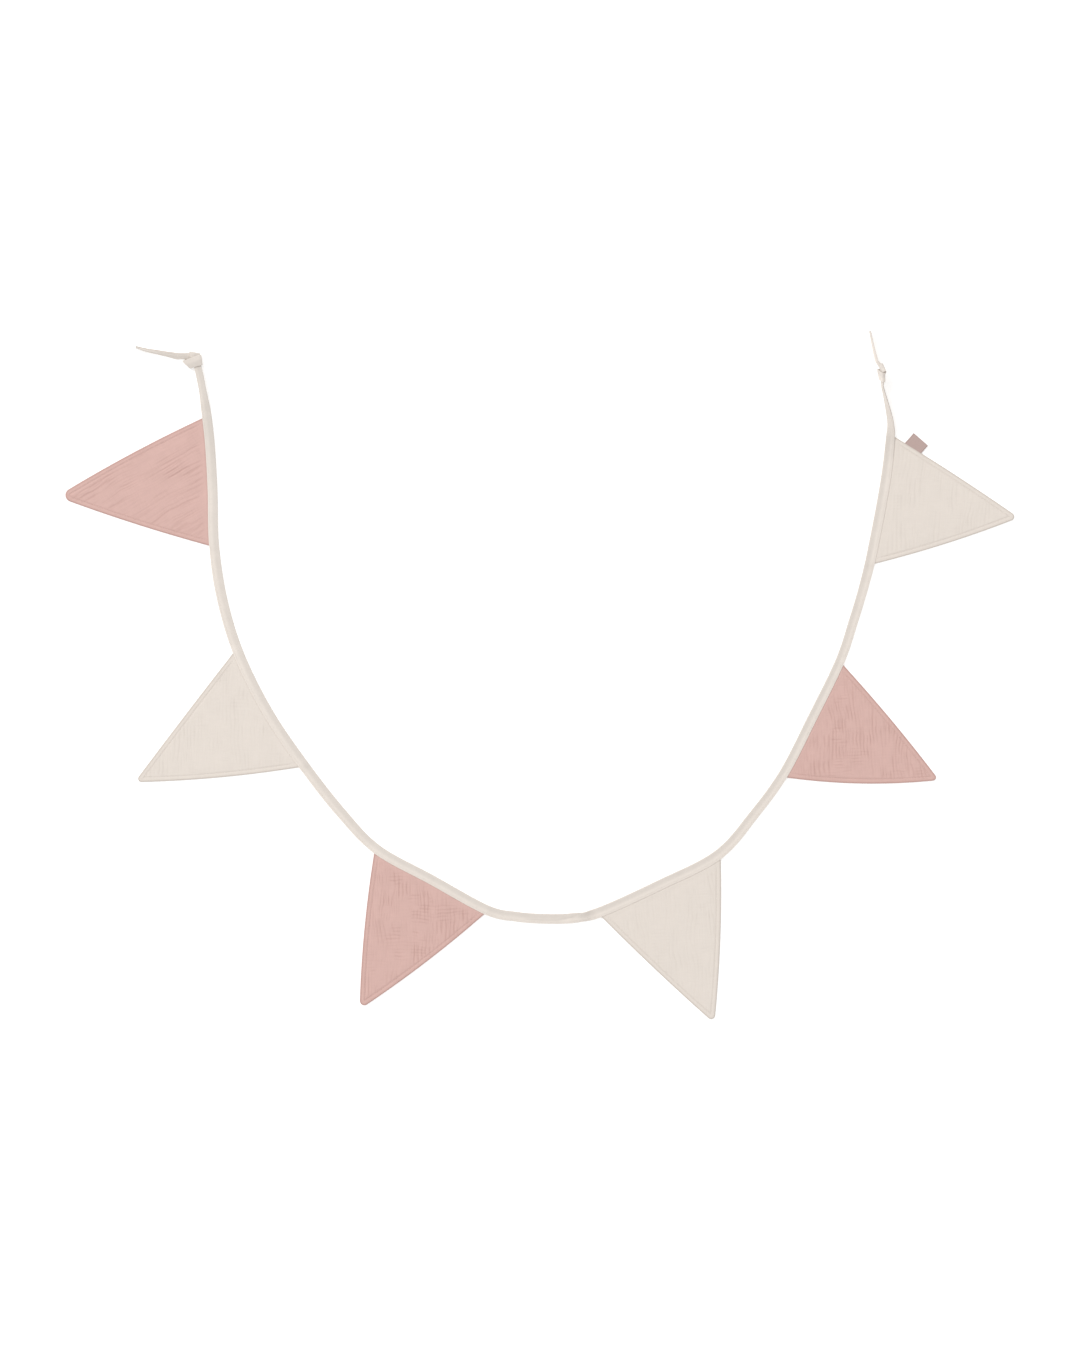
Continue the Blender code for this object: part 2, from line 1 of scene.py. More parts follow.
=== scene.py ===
# %% [markdown]
# # A muslin bunting, laid out in a U
#
# The real thing is six small pennants of crinkled double gauze, dusty pink and cream by turns,
# their raw top edges bound in one long folded cotton tape. The tape is knotted near both ends.
# This lesson dresses the plain solids of that bunting: each piece of cloth gets its own fine mesh,
# so that turned edges, crinkles and stitches are shape and not only a painted bump.
#
# The first cell loads the solids as a fixed frame.

import math
from collections import namedtuple

import bpy
import numpy as np
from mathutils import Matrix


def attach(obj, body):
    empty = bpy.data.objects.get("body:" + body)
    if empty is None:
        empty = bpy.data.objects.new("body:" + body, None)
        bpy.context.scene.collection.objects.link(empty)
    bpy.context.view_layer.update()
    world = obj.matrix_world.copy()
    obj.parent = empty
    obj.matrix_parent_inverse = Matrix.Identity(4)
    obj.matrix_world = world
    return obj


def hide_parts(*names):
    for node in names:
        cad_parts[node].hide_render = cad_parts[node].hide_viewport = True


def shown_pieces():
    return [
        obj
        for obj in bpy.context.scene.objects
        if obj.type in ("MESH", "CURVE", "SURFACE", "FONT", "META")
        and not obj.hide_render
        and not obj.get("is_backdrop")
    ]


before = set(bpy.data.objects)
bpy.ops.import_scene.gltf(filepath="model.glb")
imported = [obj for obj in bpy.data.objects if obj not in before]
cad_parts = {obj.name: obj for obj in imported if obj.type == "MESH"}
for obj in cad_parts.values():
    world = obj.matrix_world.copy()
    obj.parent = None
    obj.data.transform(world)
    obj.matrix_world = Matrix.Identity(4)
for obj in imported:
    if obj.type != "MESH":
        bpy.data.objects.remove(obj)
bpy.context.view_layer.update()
MM = 0.001
print("solids:", ", ".join(sorted(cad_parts)))

# %% [markdown]
# ## Camera
#
# The bunting was photographed from straight above with a long lens, so nothing narrows with
# distance. The picture is 1080 by 1350 and each of its pixels covers 1.35 mm of the table, which
# fixes the lens once a height is chosen. The camera looks straight down with +Y at the top.

# %% Camera straight above
PHOTO_HEIGHT = 1350
PIXEL = 1.35 * MM
CAMERA_HEIGHT = 6.0
LONG_SIDE_OF_SENSOR = 36.0
FARTHEST_SEEN = 100.0

camera_data = bpy.data.cameras.new("camera")
camera_data.sensor_width = LONG_SIDE_OF_SENSOR
camera_data.lens = LONG_SIDE_OF_SENSOR * CAMERA_HEIGHT / (PHOTO_HEIGHT * PIXEL)
camera_data.clip_end = FARTHEST_SEEN
camera = bpy.data.objects.new("camera", camera_data)
camera.location = (0.0, 0.0, CAMERA_HEIGHT)
bpy.context.scene.collection.objects.link(camera)
bpy.context.scene.camera = camera
print("lens in mm:", round(camera_data.lens, 1))

# %% [markdown]
# ## Table and light
#
# A catalogue picture of cloth is lit almost evenly, so that a white table burns out to white and
# the cloth keeps its colour. An even white world does most of that. One large soft lamp, high at
# the upper left, adds just enough direction for the crinkles and the turned edges to show. It
# stands far off, so that the left end gets only a little more of it than the right end. The table
# glows a little, as a light table does, and so washes out all but the closest shadows. The plain
# Standard view keeps whites white, where a filmic one would grey them.

# %% Table, lamp and world
TABLE_DROP = 0.2 * MM
TABLE_SIZE = 60.0
TABLE_GLOW = 0.28
WORLD_STRENGTH = 0.78
LAMP_FROM = (-7.2, 7.2, 9.5)
LAMP_SIZE = 5.5
LAMP_POWER = 660.0
WHITE = (1.0, 1.0, 1.0, 1.0)
WHITE_PAPER = (0.97, 0.97, 0.97, 1.0)

bpy.context.scene.view_settings.view_transform = "Standard"

world = bpy.data.worlds.new("studio")
world.use_nodes = True
sky = world.node_tree.nodes["Background"]
sky.inputs["Color"].default_value = WHITE
sky.inputs["Strength"].default_value = WORLD_STRENGTH
bpy.context.scene.world = world

bpy.ops.mesh.primitive_plane_add(size=TABLE_SIZE, location=(0.0, 0.0, -TABLE_DROP))
table = bpy.context.object
table.name = "table"
paper = bpy.data.materials.new("white_paper")
paper.use_nodes = True
paper_shader = paper.node_tree.nodes["Principled BSDF"]
paper_shader.inputs["Base Color"].default_value = WHITE_PAPER
paper_shader.inputs["Roughness"].default_value = 1.0
paper_shader.inputs["Specular IOR Level"].default_value = 0.0
paper_shader.inputs["Emission Color"].default_value = WHITE
paper_shader.inputs["Emission Strength"].default_value = TABLE_GLOW
table.data.materials.append(paper)
table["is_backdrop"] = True

lamp_data = bpy.data.lights.new("soft_lamp", "AREA")
lamp_data.shape = "DISK"
lamp_data.size = LAMP_SIZE
lamp_data.energy = LAMP_POWER
lamp = bpy.data.objects.new("soft_lamp", lamp_data)
lamp.location = LAMP_FROM
lamp.rotation_euler = (-lamp.location).to_track_quat("-Z", "Y").to_euler()
bpy.context.scene.collection.objects.link(lamp)
print("lamp:", LAMP_POWER, "W at", LAMP_FROM)

# %% [markdown]
# ## Unevenness
#
# Washed cotton is never even. Blender's own noise textures only reach a material, and the
# crinkles here have to move the mesh, so this small function makes the same kind of noise for
# arrays of points: a random value at each corner of a grid, blended smoothly in between.
# The values come from a formula of the corner's number, so every run gives the same cloth.

# %% Smooth noise for arrays of points
COLUMN_STRIDE = 127.1
ROW_STRIDE = 311.7
SEED_STRIDE = 74.7
SCATTER = 43758.5453


def blend(t):
    """0 to 1 with ends so soft that neighbouring cells of the noise join without a kink."""
    return t * t * t * (t * (6.0 * t - 15.0) + 10.0)


def noise(u, v, seed):
    """Smooth values from 0 to 1 over a plane, one cell per unit."""
    column = np.floor(u)
    row = np.floor(v)
    x = blend(u - column)
    y = blend(v - row)

    def corner(i, j):
        angle = (column + i) * COLUMN_STRIDE + (row + j) * ROW_STRIDE + seed * SEED_STRIDE
        wild = np.sin(angle) * SCATTER
        return wild - np.floor(wild)

    near = corner(0, 0) * (1.0 - x) + corner(1, 0) * x
    far = corner(0, 1) * (1.0 - x) + corner(1, 1) * x
    return near * (1.0 - y) + far * y


def ease(t):
    """0 to 1 with soft ends."""
    t = np.clip(t, 0.0, 1.0)
    return t * t * (3.0 - 2.0 * t)


sample = noise(np.linspace(0, 40, 4001), np.linspace(0, 9, 4001), 1)
print("noise runs from", round(float(sample.min()), 2), "to", round(float(sample.max()), 2))

# %% [markdown]
# ## The way the tape lies
#
# Everything hangs on the tape, so its route comes first. A curve object could draw it, but the
# pennants need to ask it for places too, so the route is a table of given points with a smooth
# spline through them. Asked for distances along, it answers with the place, the direction ahead
# and the direction to the right, which is the outside of the U.

# %% Route of the tape
RUN_X_Y = (
    (-461, 415), (-453, 371), (-446, 317), (-442, 250), (-440, 176), (-429, 102), (-406, 27),
    (-367, -51), (-318.7, -122), (-268.7, -185.7), (-219.6, -235.6), (-147, -276),
    (-72, -317), (-33, -326), (7, -329), (44, -328), (81, -320), (161.4, -283.6),
    (240.4, -242.7), (290, -187), (329.4, -132.2), (367.2, -58.6), (404.6, 18.2),
    (422.6, 71.4), (439.5, 128.6), (451.4, 181.7), (466.3, 262.8), (472.5, 317),
    (473, 338), (469.5, 357), (461.5, 389),
)
LEFT_TAIL_X_Y = ((-489, 430), (-500, 432), (-515, 435), (-531, 438), (-545, 442))
RIGHT_TAIL_X_Y = ((454, 423), (451, 435), (448, 449), (445, 464))
STEPS_A_POINT = 24
LOOK_AHEAD = 2.0 * MM


class Route:
    """Smooth plan curve through points given in millimetres, read by distance along it."""

    def __init__(self, points_mm):
        points = np.array(points_mm, float) * MM
        points = np.vstack((2 * points[0] - points[1], points, 2 * points[-1] - points[-2]))
        t = (np.arange(STEPS_A_POINT) / STEPS_A_POINT)[:, None]
        pieces = []
        for p0, p1, p2, p3 in zip(points, points[1:], points[2:], points[3:]):
            pieces.append(0.5 * (2 * p1 + (p2 - p0) * t + (2 * p0 - 5 * p1 + 4 * p2 - p3) * t ** 2
                                 + (3 * p1 - p0 - 3 * p2 + p3) * t ** 3))
        self.line = np.vstack(pieces + [points[-2:-1]])
        steps = np.linalg.norm(np.diff(self.line, axis=0), axis=1)
        self.along = np.concatenate(([0.0], np.cumsum(steps)))
        self.length = self.along[-1]

    def place(self, distance):
        """Places at distances along the route."""
        x = np.interp(distance, self.along, self.line[:, 0])
        y = np.interp(distance, self.along, self.line[:, 1])
        return np.stack((x, y), axis=-1)

    def at(self, distance):
        """Places, and the unit directions ahead and to the right."""
        distance = np.asarray(distance, float)
        step = self.place(np.minimum(distance + LOOK_AHEAD, self.length))
        step = step - self.place(np.maximum(distance - LOOK_AHEAD, 0.0))
        step /= np.linalg.norm(step, axis=-1, keepdims=True)
        right = np.stack((step[..., 1], -step[..., 0]), axis=-1)
        return self.place(distance), step, right


run = Route(RUN_X_Y)
left_tail = Route(LEFT_TAIL_X_Y)
right_tail = Route(RIGHT_TAIL_X_Y)
print("run between the knots:", round(run.length / MM), "mm; tails:",
      round(left_tail.length / MM), "and", round(right_tail.length / MM), "mm")

# %% [markdown]
# ## How the tape is rolled
#
# Bias tape is a strip folded in half along its length, 14 mm wide once folded. It mostly lies
# flat, but it rolls a little where it was picked up and stands on edge towards the right knot
# and in both tails. A table of states says how it lies at a few distances. The values read from
# it are averaged over a short stretch, as cotton has no sharp kinks along its length. A station
# holds the folded edge, the open edge and the direction that the tape's face looks.

# %% Stations of the lying tape
TAPE_WIDTH = 14.0 * MM
TAPE_THICK = 2.0 * MM
TAPE_THICK_OVER_SEAM = 3.2 * MM
TAPE_THICK_IN_KNOT = 1.5 * MM
TAPE_THICK_IN_TAIL = 1.5 * MM
SEAM_THICK = 1.2 * MM
GAP = 0.3 * MM
SLOT_RUN_OUT = 10.0 * MM
RUN_FROM = 12.0 * MM
RUN_PITCH = 1.9 * MM
TAIL_PITCH = 1.2 * MM
STATE_BLEND = 6.0 * MM
STATE_SAMPLES = 7

TapeState = namedtuple("TapeState", "along roll_deg lift_mm width_mm")
RUN_STATES = (
    TapeState(0, 0, 3.0, 10.0),
    TapeState(14, -14, 2.0, 10.6),
    TapeState(32, -27, 0.3, 11.2),
    TapeState(48, -17, 0.0, 12.4),
    TapeState(62, 0, 0.0, 13.0),
    TapeState(250, 0, 0.0, 13.4),
    TapeState(280, 0, 0.0, 14.0),
    TapeState(640, 0, 0.0, 14.0),
    TapeState(700, 0, 0.0, 13.2),
    TapeState(990, 0, 0.0, 13.2),
    TapeState(1004, 10, 0.0, 13.4),
    TapeState(1018, -34, 0.0, 13.6),
    TapeState(1033, 0, 0.0, 13.8),
    TapeState(1220, 0, 0.0, 13.8),
    TapeState(1300, 0, 0.0, 13.0),
    TapeState(1540, 0, 0.0, 12.6),
    TapeState(1620, 0, 0.0, 12.8),
    TapeState(1680, 0, 0.0, 13.6),
    TapeState(1800, 0, 0.0, 13.4),
    TapeState(1842, 3, 0.0, 12.0),
    TapeState(1854, 44, 0.0, 12.0),
    TapeState(1868, 58, 0.2, 12.6),
    TapeState(1881, 68, 1.2, 13.0),
    TapeState(1898, 80, 2.6, 13.2),
    TapeState(1909, 84, 3.6, 13.0),
)
LEFT_TAIL_STATES = (
    TapeState(0, 26, 0.8, 9.6),
    TapeState(11, 56, 0.3, 11.0),
    TapeState(26, 68, 0.0, 12.8),
    TapeState(43, 77, 0.0, 14.0),
    TapeState(60, 85, 0.0, 14.0),
)
RIGHT_TAIL_STATES = (
    TapeState(0, 78, 3.2, 13.0),
    TapeState(14, 82, 1.4, 13.6),
    TapeState(30, 86, 0.2, 14.0),
    TapeState(50, 87, 0.0, 14.0),
)
Station = namedtuple("Station", "fold open normal thick seam")


def read_states(states, distance):
    """Roll, lift and width of the tape, each averaged over a short stretch at a distance."""
    stops = [s.along * MM for s in states]
    stretch = distance + STATE_BLEND * np.linspace(-1.0, 1.0, STATE_SAMPLES)
    roll = np.interp(stretch, stops, [math.radians(s.roll_deg) for s in states]).mean()
    lift = np.interp(stretch, stops, [s.lift_mm * MM for s in states]).mean()
    width = np.interp(stretch, stops, [s.width_mm * MM for s in states]).mean()
    return roll, lift, width


def lying_stations(route, states, distances, seams, empty):
    """Stations of tape resting on the table; a seam of 1 means that it holds a pennant."""
    result = []
    for distance, seam in zip(distances, seams):
        here, ahead, right = route.at(distance)
        roll, lift, width = read_states(states, distance)
        thick = empty + (TAPE_THICK_OVER_SEAM - empty) * seam
        across = np.array((*(right * math.cos(roll)), math.sin(roll)))
        normal = np.cross(across, (*ahead, 0.0))
        height = lift + 0.5 * width * abs(math.sin(roll)) + 0.5 * thick * abs(math.cos(roll))
        middle = np.array((*here, height))
        half = across * 0.5 * width
        result.append(Station(middle - half, middle + half, normal, thick, seam))
    return result


Pennant = namedtuple("Pennant", "number cloth start end tip_x tip_y tip_round bow_start bow_end")
PENNANTS = (
    Pennant(1, "pink", 68.8, 241, -640.5, 242, 9.0, 2.7, 2.1),
    Pennant(2, "cream", 388.5, 565, -542, -142, 4.5, 0.5, 3.6),
    Pennant(3, "pink", 718, 886, -240, -445, 6.0, 3.2, 3.2),
    Pennant(4, "cream", 1042, 1218.8, 233, -464, 5.5, 1.6, 3.2),
    Pennant(5, "pink", 1359, 1527.4, 534, -140, 4.5, 5.8, 2.2),
    Pennant(6, "cream", 1670, 1842, 640, 213, 5.5, 3.0, 1.4),
)


def seam_at(distance):
    """1 where the tape holds a pennant, easing to 0 beside it."""
    held = np.zeros_like(distance)
    for p in PENNANTS:
        before = (distance - (p.start * MM - SLOT_RUN_OUT)) / SLOT_RUN_OUT
        after = ((p.end * MM + SLOT_RUN_OUT) - distance) / SLOT_RUN_OUT
        held = np.maximum(held, ease(np.minimum(before, after)))
    return held


run_distances = np.linspace(RUN_FROM, run.length, round((run.length - RUN_FROM) / RUN_PITCH))
run_stations = lying_stations(run, RUN_STATES, run_distances, seam_at(run_distances), TAPE_THICK)
print(len(run_stations), "stations on the run")

# %% [markdown]
# ## The overhand knots
#
# An overhand knot pulled flat in a tape folds itself into a pentagon: the tape makes four passes,
# each beside one side of the pentagon, and turns over another side onto a new level. Twisting a
# curve into a knot and giving it a ribbon section tears at such sharp turns, so the knot is folded
# here as one folds it on a table, pass by pass. The left knot lies flat, the right one on edge.

# %% Fold a knot round a pentagon
Knot = namedtuple("Knot", "x y travel_deg lean_deg pinch_in_mm pinch_out_mm")
LEFT_KNOT = Knot(-468.2, 423.4, 98.0, 0.0, 4.6, 5.4)
RIGHT_KNOT = Knot(460.6, 406.5, 101.5, 80.0, 1.5, 1.5)
KNOT_PITCH = TAPE_THICK_IN_KNOT + GAP
KNOT_CORNERS = 5
TURN = math.radians(72.0)
KNOT_SIDE = TAPE_WIDTH / math.sin(TURN)
KNOT_RADIUS = KNOT_SIDE / (2.0 * math.sin(0.5 * TURN))
KNOT_LEVELS = (2, 0, 3, 1)
MIDDLE_LEVEL = 1.5
FOLD_STEPS = 8
LEFT_KNOT_LIFT = 6.0 * MM

# Where the pull on the left knot starts and how far it takes to grow, in radii of the knot.
Pull = namedtuple("Pull", "start over")
PULL_TO_LEFT = Pull(-0.25, 0.9)
PULL_DOWN = Pull(-0.35, 1.1)


def unit(v):
    """The same direction at length 1."""
    return v / np.linalg.norm(v)


def knot_edges(knot):
    """Left edge, right edge and face direction of the tape through a knot, run's side first."""
    travel = math.radians(knot.travel_deg)
    lean = math.radians(knot.lean_deg)
    ahead = np.array((math.cos(travel), math.sin(travel), 0.0))
    right = np.array((ahead[1], -ahead[0], 0.0))
    if knot.lean_deg:
        axis_u = ahead
        axis_v = -(right * math.cos(lean) + np.array((0.0, 0.0, math.sin(lean))))
        first_pass = -0.5 * TURN
    else:
        axis_u = np.array((1.0, 0.0, 0.0))
        axis_v = np.array((0.0, 1.0, 0.0))
        first_pass = travel
    face = np.cross(axis_u, axis_v)
    first_side = first_pass - 0.5 * math.pi

    def outward(side):
        angle = first_side + TURN * side
        return axis_u * math.cos(angle) + axis_v * math.sin(angle)

    corner = [outward(k + 0.5) * KNOT_RADIUS for k in range(KNOT_CORNERS)]
    level = [face * (k - MIDDLE_LEVEL) * KNOT_PITCH for k in KNOT_LEVELS]
    start = corner[3] + unit(corner[4] - corner[3]) * knot.pinch_in_mm * MM
    edges = [(start + level[0], corner[4] + level[0], face)]
    turned = face
    passes = ((1, corner[1], corner[0]), (3, corner[2], corner[3]), (0, corner[0], corner[4]))
    for turn, (side, left_edge, right_edge) in enumerate(passes):
        middle = 0.5 * (level[turn] + level[turn + 1])
        reach = 0.5 * (level[turn + 1] - level[turn])
        for phase in np.linspace(0.0, math.pi, FOLD_STEPS + 1):
            out = outward(side) * math.sin(phase)
            shift = middle - reach * math.cos(phase) + out * np.linalg.norm(reach)
            edges.append((left_edge + shift, right_edge + shift, turned * math.cos(phase) + out))
        turned = -turned
    end = corner[2] + unit(corner[1] - corner[2]) * knot.pinch_out_mm * MM
    edges.append((corner[1] + level[3], end + level[3], turned))
    lowest = min(min(a[2], b[2]) for a, b, _ in edges) - 0.5 * TAPE_THICK_IN_KNOT
    centre = np.array((knot.x * MM, knot.y * MM, -lowest))
    return [(a + centre, b + centre, n) for a, b, n in edges]


def pulled_tight(point):
    """The left knot's lower left corner is pulled in under the tail that leaves it."""
    left = (LEFT_KNOT.x * MM - point[0]) / KNOT_RADIUS
    down = (LEFT_KNOT.y * MM - point[1]) / KNOT_RADIUS
    lift = LEFT_KNOT_LIFT * ease((left - PULL_TO_LEFT.start) / PULL_TO_LEFT.over)
    lift = lift * ease((down - PULL_DOWN.start) / PULL_DOWN.over)
    return point + np.array((0.0, lift, 0.0))


left_edges = [(pulled_tight(a), pulled_tight(b), n) for a, b, n in knot_edges(LEFT_KNOT)]
right_edges = knot_edges(RIGHT_KNOT)
print("a knot's side is", round(KNOT_SIDE / MM, 1), "mm; it has", len(left_edges), "stations")

# %% [markdown]
# ## One tape from end to end
#
# The tape is one strip, so its stations are joined into one list: left tail, left knot, run,
# right knot, right tail. Long steps in and beside the knots are filled in evenly, and the filled
# stretches are smoothed a little, because cotton rounds off where paper would crease.

# %% Join the stations
FILL_PITCH = 1.1 * MM
SMOOTH_PASSES = 3


def tail_stations(route, states, swapped):
    """Stations of a tail, which the knot has turned over; swapped puts its fold on the other side."""
    count = round(route.length / TAIL_PITCH)
    distances = np.linspace(0.0, route.length, count)
    made = lying_stations(route, states, distances, np.zeros(count), TAPE_THICK_IN_TAIL)
    made = [s._replace(normal=-s.normal) for s in made]
    if swapped:
        made = [s._replace(fold=s.open, open=s.fold) for s in made]
    return made


def knot_stations(edges, fold_is_left):
    """Stations through a knot, from its pairs of edges."""
    made = []
    for left_edge, right_edge, face in edges:
        fold, free = (left_edge, right_edge) if fold_is_left else (right_edge, left_edge)
        made.append(Station(fold, free, face, TAPE_THICK_IN_KNOT, 0.0))
    return made


def filled(stations):
    """The stations with even ones added wherever two are far apart."""
    result = [stations[0]]
    for a, b in zip(stations, stations[1:]):
        gap = max(np.linalg.norm(b.fold - a.fold), np.linalg.norm(b.open - a.open))
        count = max(1, math.ceil(gap / FILL_PITCH))
        for k in range(1, count + 1):
            t = k / count
            result.append(Station(*[p + (q - p) * t for p, q in zip(a, b)]))
    return result


tail_then_knot = list(reversed(tail_stations(left_tail, LEFT_TAIL_STATES, False)))
tail_then_knot += list(reversed(knot_stations(left_edges, False)))
knot_then_tail = knot_stations(right_edges, True)
knot_then_tail += tail_stations(right_tail, RIGHT_TAIL_STATES, True)
start = filled(tail_then_knot + run_stations[:1])
finish = filled(run_stations[-1:] + knot_then_tail)
stations = start + run_stations[1:-1] + finish

fold_line = np.array([s.fold for s in stations])
open_line = np.array([s.open for s in stations])
face_line = np.array([s.normal for s in stations])
thickness = np.array([s.thick for s in stations])
held = np.array([s.seam for s in stations])
soft = np.ones(len(stations), bool)
soft[len(start):len(start) + len(run_stations) - 2] = False
soft[[0, -1]] = False
for _ in range(SMOOTH_PASSES):
    for line in (fold_line, open_line, face_line):
        blurred = line.copy()
        blurred[1:-1] = 0.25 * line[:-2] + 0.5 * line[1:-1] + 0.25 * line[2:]
        line[soft] = blurred[soft]
face_line /= np.linalg.norm(face_line, axis=1, keepdims=True)
middle_line = 0.5 * (fold_line + open_line)
steps = np.linalg.norm(np.diff(middle_line, axis=0), axis=1)
length_line = np.concatenate(([0.0], np.cumsum(steps)))
TAPE_LENGTH = float(length_line[-1])
print(len(stations), "stations; the tape is", round(TAPE_LENGTH, 3), "m long")

# %% [markdown]
# ## The tape's faces
#
# Bias tape has its raw edges turned in, so from half its width on it is a little fuller, with a
# groove where the stitches press it. Puckers along the stitches and a slow unevenness keep it from
# looking like card. It is a little greyer beside its fold and towards the knots, and painted shade
# darkens its stitch groove and the crease where it is folded over itself, so each point also gets
# a shade, for the finish to read. Heights this small could be a bump in the material, but as
# shape they show from any side.

# %% The tape's two faces
STITCH_FROM_OPEN = 2.4 * MM
STITCH_GROOVE = 0.16 * MM
GROOVE_HALF = 0.5 * MM
HEM_FROM = 6.4 * MM
HEM_RISE = 0.18 * MM
HEM_SLOPE = 2.4 * MM
PUCKER = 0.11 * MM
PUCKER_PITCH = 3.6 * MM
PUCKER_ACROSS = 9.0 * MM
PUCKER_REACH = 4.0
UNEVEN = 0.12 * MM
UNEVEN_ALONG = 17.0 * MM
UNEVEN_ACROSS = 8.0 * MM

# Darkness by the distance from the fold, and by the distance from either cut end, in millimetres.
# The small rise at 11.6 mm is painted shade in the stitch groove.
SHADE_ACROSS = ((0.0, 0.55), (1.6, 0.66), (3.4, 0.72), (6.0, 0.58), (7.6, 0.30), (9.2, 0.02),
                (11.0, 0.10), (11.6, 0.20), (12.2, 0.10), (12.9, 0.0), (14.0, 0.10))
SHADE_FROM_LEFT_END = ((0, 0.5), (10, 0.0), (62, 0.0), (80, 0.3), (170, 0.5), (230, 0.5),
                       (330, 0))
SHADE_FROM_RIGHT_END = ((0, 0.4), (20, 0.15), (60, 0.1), (110, 0.4), (140, 0.95), (210, 0.8),
                        (260, 0))

# The slanting crease: how far it is from the fold at a few distances along the run.
FOLDED_OVER = ((930, 8.8), (985, 8.2), (1003, 5.6), (1015, 0.4))
OVER_FADES_IN = 30.0
OVER_RUNS_ON = 3
OVER_FADES_OUT = 5.0
OVER_HALF = 0.8
OVER_DEPTH = 0.25 * MM
# Painted shade along the slanting crease.
OVER_SHADE = 0.9

Mottle = namedtuple("Mottle", "along across amount seed")
TAPE_CLOUDS = Mottle(9.0 * MM, 5.0 * MM, 0.16, 41)
TAPE_SPECKS = Mottle(2.4 * MM, 3.0 * MM, 0.12, 42)
RUN_BEGINS = length_line[len(start) - 1] - RUN_FROM


def fold_crease(a, length):
    """1 along the slanting crease where the tape is folded over before the fourth pennant."""
    along = (length - RUN_BEGINS) / MM
    across = np.interp(along, *zip(*FOLDED_OVER))
    strength = ease((along - FOLDED_OVER[0][0]) / OVER_FADES_IN)
    strength = strength * ease((FOLDED_OVER[-1][0] + OVER_RUNS_ON - along) / OVER_FADES_OUT)
    return strength * np.exp(-((a / MM - across) / OVER_HALF) ** 2)


def tape_face(a, length, lively, seed):
    """How far the tape's outer face stands above or below its even thickness."""
    from_stitches = (a - (TAPE_WIDTH - STITCH_FROM_OPEN)) / GROOVE_HALF
    groove = STITCH_GROOVE * np.exp(-from_stitches ** 2)
    near = np.exp(-(from_stitches / PUCKER_REACH) ** 2)
    hem = HEM_RISE * (ease((a - HEM_FROM) / HEM_SLOPE) - 1.0)
    ripple = noise(length / PUCKER_PITCH, a / PUCKER_ACROSS, seed) - 0.5
    slow = noise(length / UNEVEN_ALONG, a / UNEVEN_ACROSS, seed + 3) - 0.5
    over = OVER_DEPTH * fold_crease(a, length)
    return hem - over + lively * (PUCKER * 2.0 * ripple * near + UNEVEN * slow - groove)


def mottled(kind, a, length):
    """Uneven shade of one kind, a little lighter and darker by turns."""
    return kind.amount * (noise(length / kind.along, a / kind.across, kind.seed) - 0.5)


def tape_shade(a, length):
    """How dark the tape is painted, from 0 at the fullest part of its hem to 1 beside its fold."""
    shade = np.interp(a / MM, *zip(*SHADE_ACROSS))
    by_ends = np.interp(length / MM, *zip(*SHADE_FROM_LEFT_END))
    by_ends += np.interp((TAPE_LENGTH - length) / MM, *zip(*SHADE_FROM_RIGHT_END))
    # Greyer towards the knots, and painted shade along the slanting crease.
    shade = shade + by_ends + OVER_SHADE * fold_crease(a, length)
    shade = shade + mottled(TAPE_CLOUDS, a, length) + mottled(TAPE_SPECKS, a, length)
    return np.clip(shade, 0.0, 1.0)


halfway = 0.5 * TAPE_LENGTH
print("shade at the middle of the tape, by the fold and on the hem:",
      [round(float(tape_shade(a * MM, halfway)), 2) for a in (2.0, 9.0)])

# %% [markdown]
# ## From a section to one long tape
#
# Seen from its cut end the tape is a narrow U: two plies joined by a round fold, each ply thinning
# out to one rounded edge. Where a pennant is bound the plies stand apart, and elsewhere they all
# but touch. An extruded ribbon with Solidify would lose that, so the outline of the U is written
# once, as a ring of points, carried along the stations and joined with quads. The same helpers
# will make the other pieces: each keeps the places of its points on the flat cloth as a UV map, so
# that a weave can be drawn at its true size.

# %% Build the tape
FOLD_WALL = 2.6 * MM
SLIT_HALF = 0.12 * MM
FOLD_ROUND = 0.9 * MM
EDGE_PLY = 0.45 * MM
EDGE_SLOPE = 1.7 * MM
CALM_IN_KNOTS = 0.25
CALM_UNDER_SEAM = 0.6
FACE_POINTS = np.array((0.9, 2.2, 4.0, 6.0, 7.3, 8.8, 10.6, 11.2, 11.6, 12.1, 12.8, 13.4)) * MM
ROUND_STEPS = 4
INNER_POINTS = 3
BEND_POINTS = 5
TOP_SEED = 11
UNDER_SEED = 23


